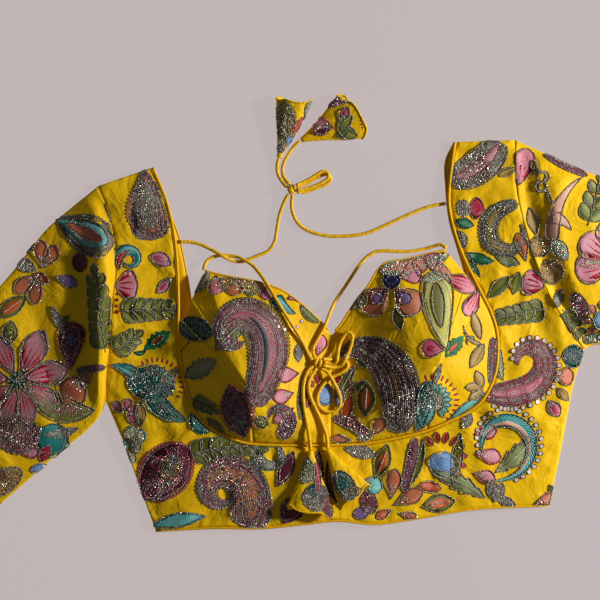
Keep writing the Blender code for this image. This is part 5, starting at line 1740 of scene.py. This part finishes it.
def wire(tree, kind, inputs=(), **settings):
    """Adds a node with its settings, and gives each named input a value or another node's socket."""
    made = tree.nodes.new(kind)
    for key, value in settings.items():
        setattr(made, key, value)
    for key, value in dict(inputs).items():
        if isinstance(value, bpy.types.NodeSocket):
            tree.links.new(value, made.inputs[key])
        else:
            made.inputs[key].default_value = value
    return made


def sums(tree, operation, a, b, c=0.0):
    """One step of arithmetic on a value."""
    return wire(tree, "ShaderNodeMath", {0: a, 1: b, 2: c}, operation=operation).outputs[0]


def blend_colours(tree, share, low, high):
    """A colour between two, by a share."""
    mix = wire(tree, "ShaderNodeMix", {0: share}, data_type="RGBA")
    for index, value in ((6, low), (7, high)):
        if isinstance(value, bpy.types.NodeSocket):
            tree.links.new(value, mix.inputs[index])
        else:
            mix.inputs[index].default_value = (*value, 1)
    return mix.outputs[2]


def new_group(name, inputs, outputs):
    """A shader node group with named inputs, each with its usual value, and named outputs."""
    group = bpy.data.node_groups.new(name, "ShaderNodeTree")
    for label, kind, value in inputs:
        socket = group.interface.new_socket(label, in_out="INPUT", socket_type=kind)
        if value is not None:
            socket.default_value = value
    for label in outputs:
        group.interface.new_socket(label, in_out="OUTPUT", socket_type="NodeSocketFloat")
    return group, group.nodes.new("NodeGroupInput").outputs, group.nodes.new("NodeGroupOutput").inputs


def crumple_group():
    """Soft creases, a fine crinkle and the slubs of raw silk, as a height and a mask."""
    group, given, out = new_group(
        "silk crumple",
        [("Place", "NodeSocketVector", None), ("Folds per metre", "NodeSocketFloat", 45.0)],
        ["Height", "Slub"])
    folds = wire(group, "ShaderNodeTexNoise", {"Vector": given["Place"], "Scale": given["Folds per metre"],
                                               "Detail": 3.0, "Roughness": 0.55, "Distortion": 0.9})
    crinkle_scale = sums(group, "MULTIPLY", given["Folds per metre"], 3.4)
    crinkle = wire(group, "ShaderNodeTexNoise", {"Vector": given["Place"], "Scale": crinkle_scale,
                                                 "Detail": 2.0, "Distortion": 1.6})
    ridge = sums(group, "ABSOLUTE", sums(group, "SUBTRACT", folds.outputs[0], 0.5), 0.0)
    height = sums(group, "MULTIPLY_ADD", ridge, -1.7, 1.0)
    group.links.new(sums(group, "MULTIPLY_ADD", crinkle.outputs[0], 0.14, height), out["Height"])
    stretch = wire(group, "ShaderNodeMapping", {"Vector": given["Place"], "Scale": (60, 900, 60)})
    slub = wire(group, "ShaderNodeTexNoise", {"Vector": stretch.outputs[0], "Scale": 1.0, "Detail": 2.0})
    group.links.new(slub.outputs[0], out["Slub"])
    return group


def stitch_group():
    """Stitches or twists side by side, slanted across a piece's own UV."""
    group, given, out = new_group(
        "stitch rows",
        [("Place", "NodeSocketVector", None), ("Per unit", "NodeSocketFloat", 1.0),
         ("Slant", "NodeSocketFloat", 0.5), ("Wander", "NodeSocketFloat", 0.3)],
        ["Ridge"])
    parts = wire(group, "ShaderNodeSeparateXYZ", {0: given["Place"]})
    drift = wire(group, "ShaderNodeTexNoise", {"Vector": given["Place"], "Scale": 0.35, "Detail": 1.0})
    across = sums(group, "MULTIPLY", parts.outputs[1], given["Slant"])
    phase = sums(group, "MULTIPLY_ADD", parts.outputs[0], given["Per unit"], across)
    phase = sums(group, "MULTIPLY_ADD", drift.outputs[0], given["Wander"], phase)
    wave = sums(group, "SINE", sums(group, "MULTIPLY", phase, 2 * math.pi), 0.0)
    group.links.new(sums(group, "MULTIPLY_ADD", wave, 0.5, 0.5), out["Ridge"])
    return group


def new_material(name, **sockets):
    """A material with its Principled shader, its constants set on the shader's own sockets."""
    material = bpy.data.materials.new(name)
    material.use_nodes = True
    shader = material.node_tree.nodes["Principled BSDF"]
    for key, value in sockets.items():
        shader.inputs[key.replace("_", " ")].default_value = value
    return material, material.node_tree, shader.inputs


def object_place(tree):
    """The piece's own coordinates."""
    return wire(tree, "ShaderNodeTexCoord").outputs["Object"]


def own_uv(tree):
    """The piece's own UV map."""
    return wire(tree, "ShaderNodeUVMap", uv_map="UVMap").outputs[0]


def raise_by(tree, height, distance, into):
    """A bump of the given height in metres."""
    bump = wire(tree, "ShaderNodeBump", {"Height": height, "Distance": distance, "Strength": 1.0})
    tree.links.new(bump.outputs[0], into["Normal"])


def woven_silk(name, group, light, deep, folds, depth):
    """Raw silk: creased, a little glossy, its slubs a shade deeper."""
    material, tree, into = new_material(name, Roughness=0.55, Specular_IOR_Level=0.14)
    crumple = wire(tree, "ShaderNodeGroup", node_tree=group)
    tree.links.new(object_place(tree), crumple.inputs["Place"])
    crumple.inputs["Folds per metre"].default_value = folds
    share = sums(tree, "MULTIPLY_ADD", crumple.outputs["Slub"], 0.7, -0.1)
    tree.links.new(blend_colours(tree, share, light, deep), into["Base Color"])
    raise_by(tree, crumple.outputs["Height"], depth, into)
    return material


def stitched(name, group, per, slant, wander, low, high, depth, **sockets):
    """Thread that lies in rows, in the colour that each point carries, darkened to a painted shade in the
    grooves between the rows and lightened to a painted highlight on their crowns.
    """
    material, tree, into = new_material(name, **sockets)
    tint = wire(tree, "ShaderNodeAttribute", attribute_name="tint")
    rows = wire(tree, "ShaderNodeGroup", node_tree=group)
    tree.links.new(own_uv(tree), rows.inputs["Place"])
    for key, value in (("Per unit", per), ("Slant", slant), ("Wander", wander)):
        rows.inputs[key].default_value = value
    # painted shade and highlight: the colour runs from low in the grooves between the rows to high on their
    # crowns, then takes a random grain
    shade = sums(tree, "MULTIPLY_ADD", rows.outputs[0], high - low, low)
    grain = wire(tree, "ShaderNodeTexNoise", {"Vector": object_place(tree), "Scale": 700.0, "Detail": 1.0})
    shade = sums(tree, "MULTIPLY", shade, sums(tree, "MULTIPLY_ADD", grain.outputs[0], 0.6, 0.7))
    scaled = wire(tree, "ShaderNodeVectorMath", {0: tint.outputs["Color"], "Scale": shade}, operation="SCALE")
    tree.links.new(scaled.outputs[0], into["Base Color"])
    raise_by(tree, rows.outputs[0], depth, into)
    return material


def rolled_silk(name, group, light, deep):
    """Silk rolled into a cord, wrinkled on the slant, with painted shade in the grooves of its twist."""
    material, tree, into = new_material(name, Roughness=0.5, Specular_IOR_Level=0.35)
    rows = wire(tree, "ShaderNodeGroup", {"Per unit": 0.11, "Slant": 1.0, "Wander": 2.2}, node_tree=group)
    tree.links.new(own_uv(tree), rows.inputs["Place"])
    # painted shade: the colour is deep in the grooves of the twist and light on its ridges
    tree.links.new(blend_colours(tree, rows.outputs[0], deep, light), into["Base Color"])
    raise_by(tree, rows.outputs[0], 0.00014, into)
    return material


def cut_beads(name):
    """Cut glass and metal beads in the colours that they carry."""
    material, tree, into = new_material(name, Metallic=0.3, Roughness=0.3, Specular_IOR_Level=0.6)
    tint = wire(tree, "ShaderNodeAttribute", attribute_name="tint")
    tree.links.new(tint.outputs["Color"], into["Base Color"])
    return material


def floor_finish():
    """A plain pale floor, which takes only a faint shadow."""
    material, _, into = new_material("pale floor", Base_Color=(0.06, 0.053, 0.052, 1), Roughness=1.0,
                                     Specular_IOR_Level=0.0)
    into["Emission Color"].default_value = (0.552, 0.485, 0.479, 1)
    into["Emission Strength"].default_value = FLOOR_GLOW
    return material


# ---------------------------------------------------------------- the whole garment

FLOOR_GLOW = 0.9
FLOOR_SIZE = 8.0
FLOOR_DROP = 0.0006                      # below the lowest silk
LAMP_FROM = Vector((1.7, 0.24, 0.86))    # low on the right, so that every fold on the left falls into shade
LAMP_POWER = 45.0
LAMP_SIZE = 0.22
SKY = 0.09
VIEW_CENTRE = Vector((-0.0368, 0.0345, 0.0))
VIEW_WIDTH = 0.57
CAMERA_HEIGHT = 2.6
FILM = 36.0

crumple, stitch = crumple_group(), stitch_group()
YELLOW, DEEP_YELLOW = (0.90, 0.56, 0.004), (0.80, 0.44, 0.003)
silk = woven_silk("yellow embroidered silk", crumple, YELLOW, DEEP_YELLOW, 30.0, 0.0020)
back_silk = woven_silk("yellow back silk", crumple, YELLOW, DEEP_YELLOW, 30.0, 0.0012)
piping_silk = woven_silk("yellow silk piping", crumple, (0.86, 0.50, 0.004), (0.70, 0.36, 0.003), 90.0, 0.0006)
latkan_silk = woven_silk("yellow latkan silk", crumple, YELLOW, DEEP_YELLOW, 60.0, 0.0016)
# the cord's deeper colour is the painted shade in the grooves of its twist
cord_silk = rolled_silk("rolled yellow silk", stitch, (0.90, 0.54, 0.006), (0.76, 0.41, 0.003))
finishes = {
    # For satin stitch and zari thread, the two numbers after the wander are the painted shade in the grooves
    # between rows and the painted highlight on their crowns.
    "silk": stitched("satin stitch", stitch, 0.9, 0.5, 0.6, 0.78, 1.1, 0.00016, Roughness=0.42,
                     Specular_IOR_Level=0.45),
    "thread": stitched("zari thread", stitch, 0.75, 0.5, 0.2, 0.5, 1.35, 0.0002, Roughness=0.34, Metallic=0.5),
    "bead": cut_beads("cut beads"),
}

front, back, front_ground = body_panels(silk, back_silk)
cup_grounds = cups(silk)
edges = pipings(piping_silk)
cords = ties(cord_silk)
knots(cord_silk)
on_front = embroider("front_body", front_ground, finishes)
for side in CUPS:
    embroider(f"cup_{side}", cup_grounds[side], finishes)

SHEETS = []
for side in SLEEVES:
    tube, hem, ground = sleeve(side, silk, piping_silk)
    on_sleeve = embroider(f"sleeve_{side}", ground, finishes)
    SHEETS.append((tube, on_sleeve + [hem]))
for name, spec in LATKANS.items():
    cone, ground, rim = latkan(name, spec, latkan_silk)
    turned = tube_piece(name.replace("latkan", "latkan_rim"), [rim], 0.9, PIPING_SIDES, latkan_silk, closed=True)
    settle(turned, [])
    SHEETS.append((cone, embroider(name, ground, finishes) + [turned]))
SHEETS += [(front, on_front + [edges["neck_piping"], edges["hem_piping_front"]]),
           (back, [edges["back_neck_piping"], edges["hem_piping_back"]])]

# Each tie's route in metres, about the middle of the laid-out garment.
for name, (length, far_end, ends) in CORD_ENDS.items():
    path = [tuple((point - CENTRE) * MM) for point in route_points(name)]

# ---------------------------------------------------------------- floor, light and camera

bpy.ops.mesh.primitive_plane_add(size=FLOOR_SIZE, location=(0, 0, -FLOOR_DROP))
floor = bpy.context.object
floor.name = "floor"
floor.data.materials.append(floor_finish())

lamp = bpy.data.lights.new("studio window", "AREA")
lamp.energy, lamp.shape, lamp.size = LAMP_POWER, "DISK", LAMP_SIZE
lamp.color = (1.0, 0.97, 0.92)
lamp_place = bpy.data.objects.new("studio window", lamp)
lamp_place.location = VIEW_CENTRE + LAMP_FROM
lamp_place.rotation_euler = LAMP_FROM.to_track_quat("Z", "Y").to_euler()
bpy.context.scene.collection.objects.link(lamp_place)

world = bpy.data.worlds.new("soft sky")
world.use_nodes = True
world.node_tree.nodes["Background"].inputs[0].default_value = (0.92, 0.95, 1.0, 1)
world.node_tree.nodes["Background"].inputs[1].default_value = SKY
bpy.context.scene.world = world
bpy.context.scene.view_settings.view_transform = "Standard"

lens = bpy.data.cameras.new("camera")
lens.sensor_width = FILM
lens.lens = FILM * CAMERA_HEIGHT / VIEW_WIDTH
camera = bpy.data.objects.new("camera", lens)
camera.location = VIEW_CENTRE + Vector((0, 0, CAMERA_HEIGHT))
bpy.context.scene.collection.objects.link(camera)
bpy.context.scene.camera = camera
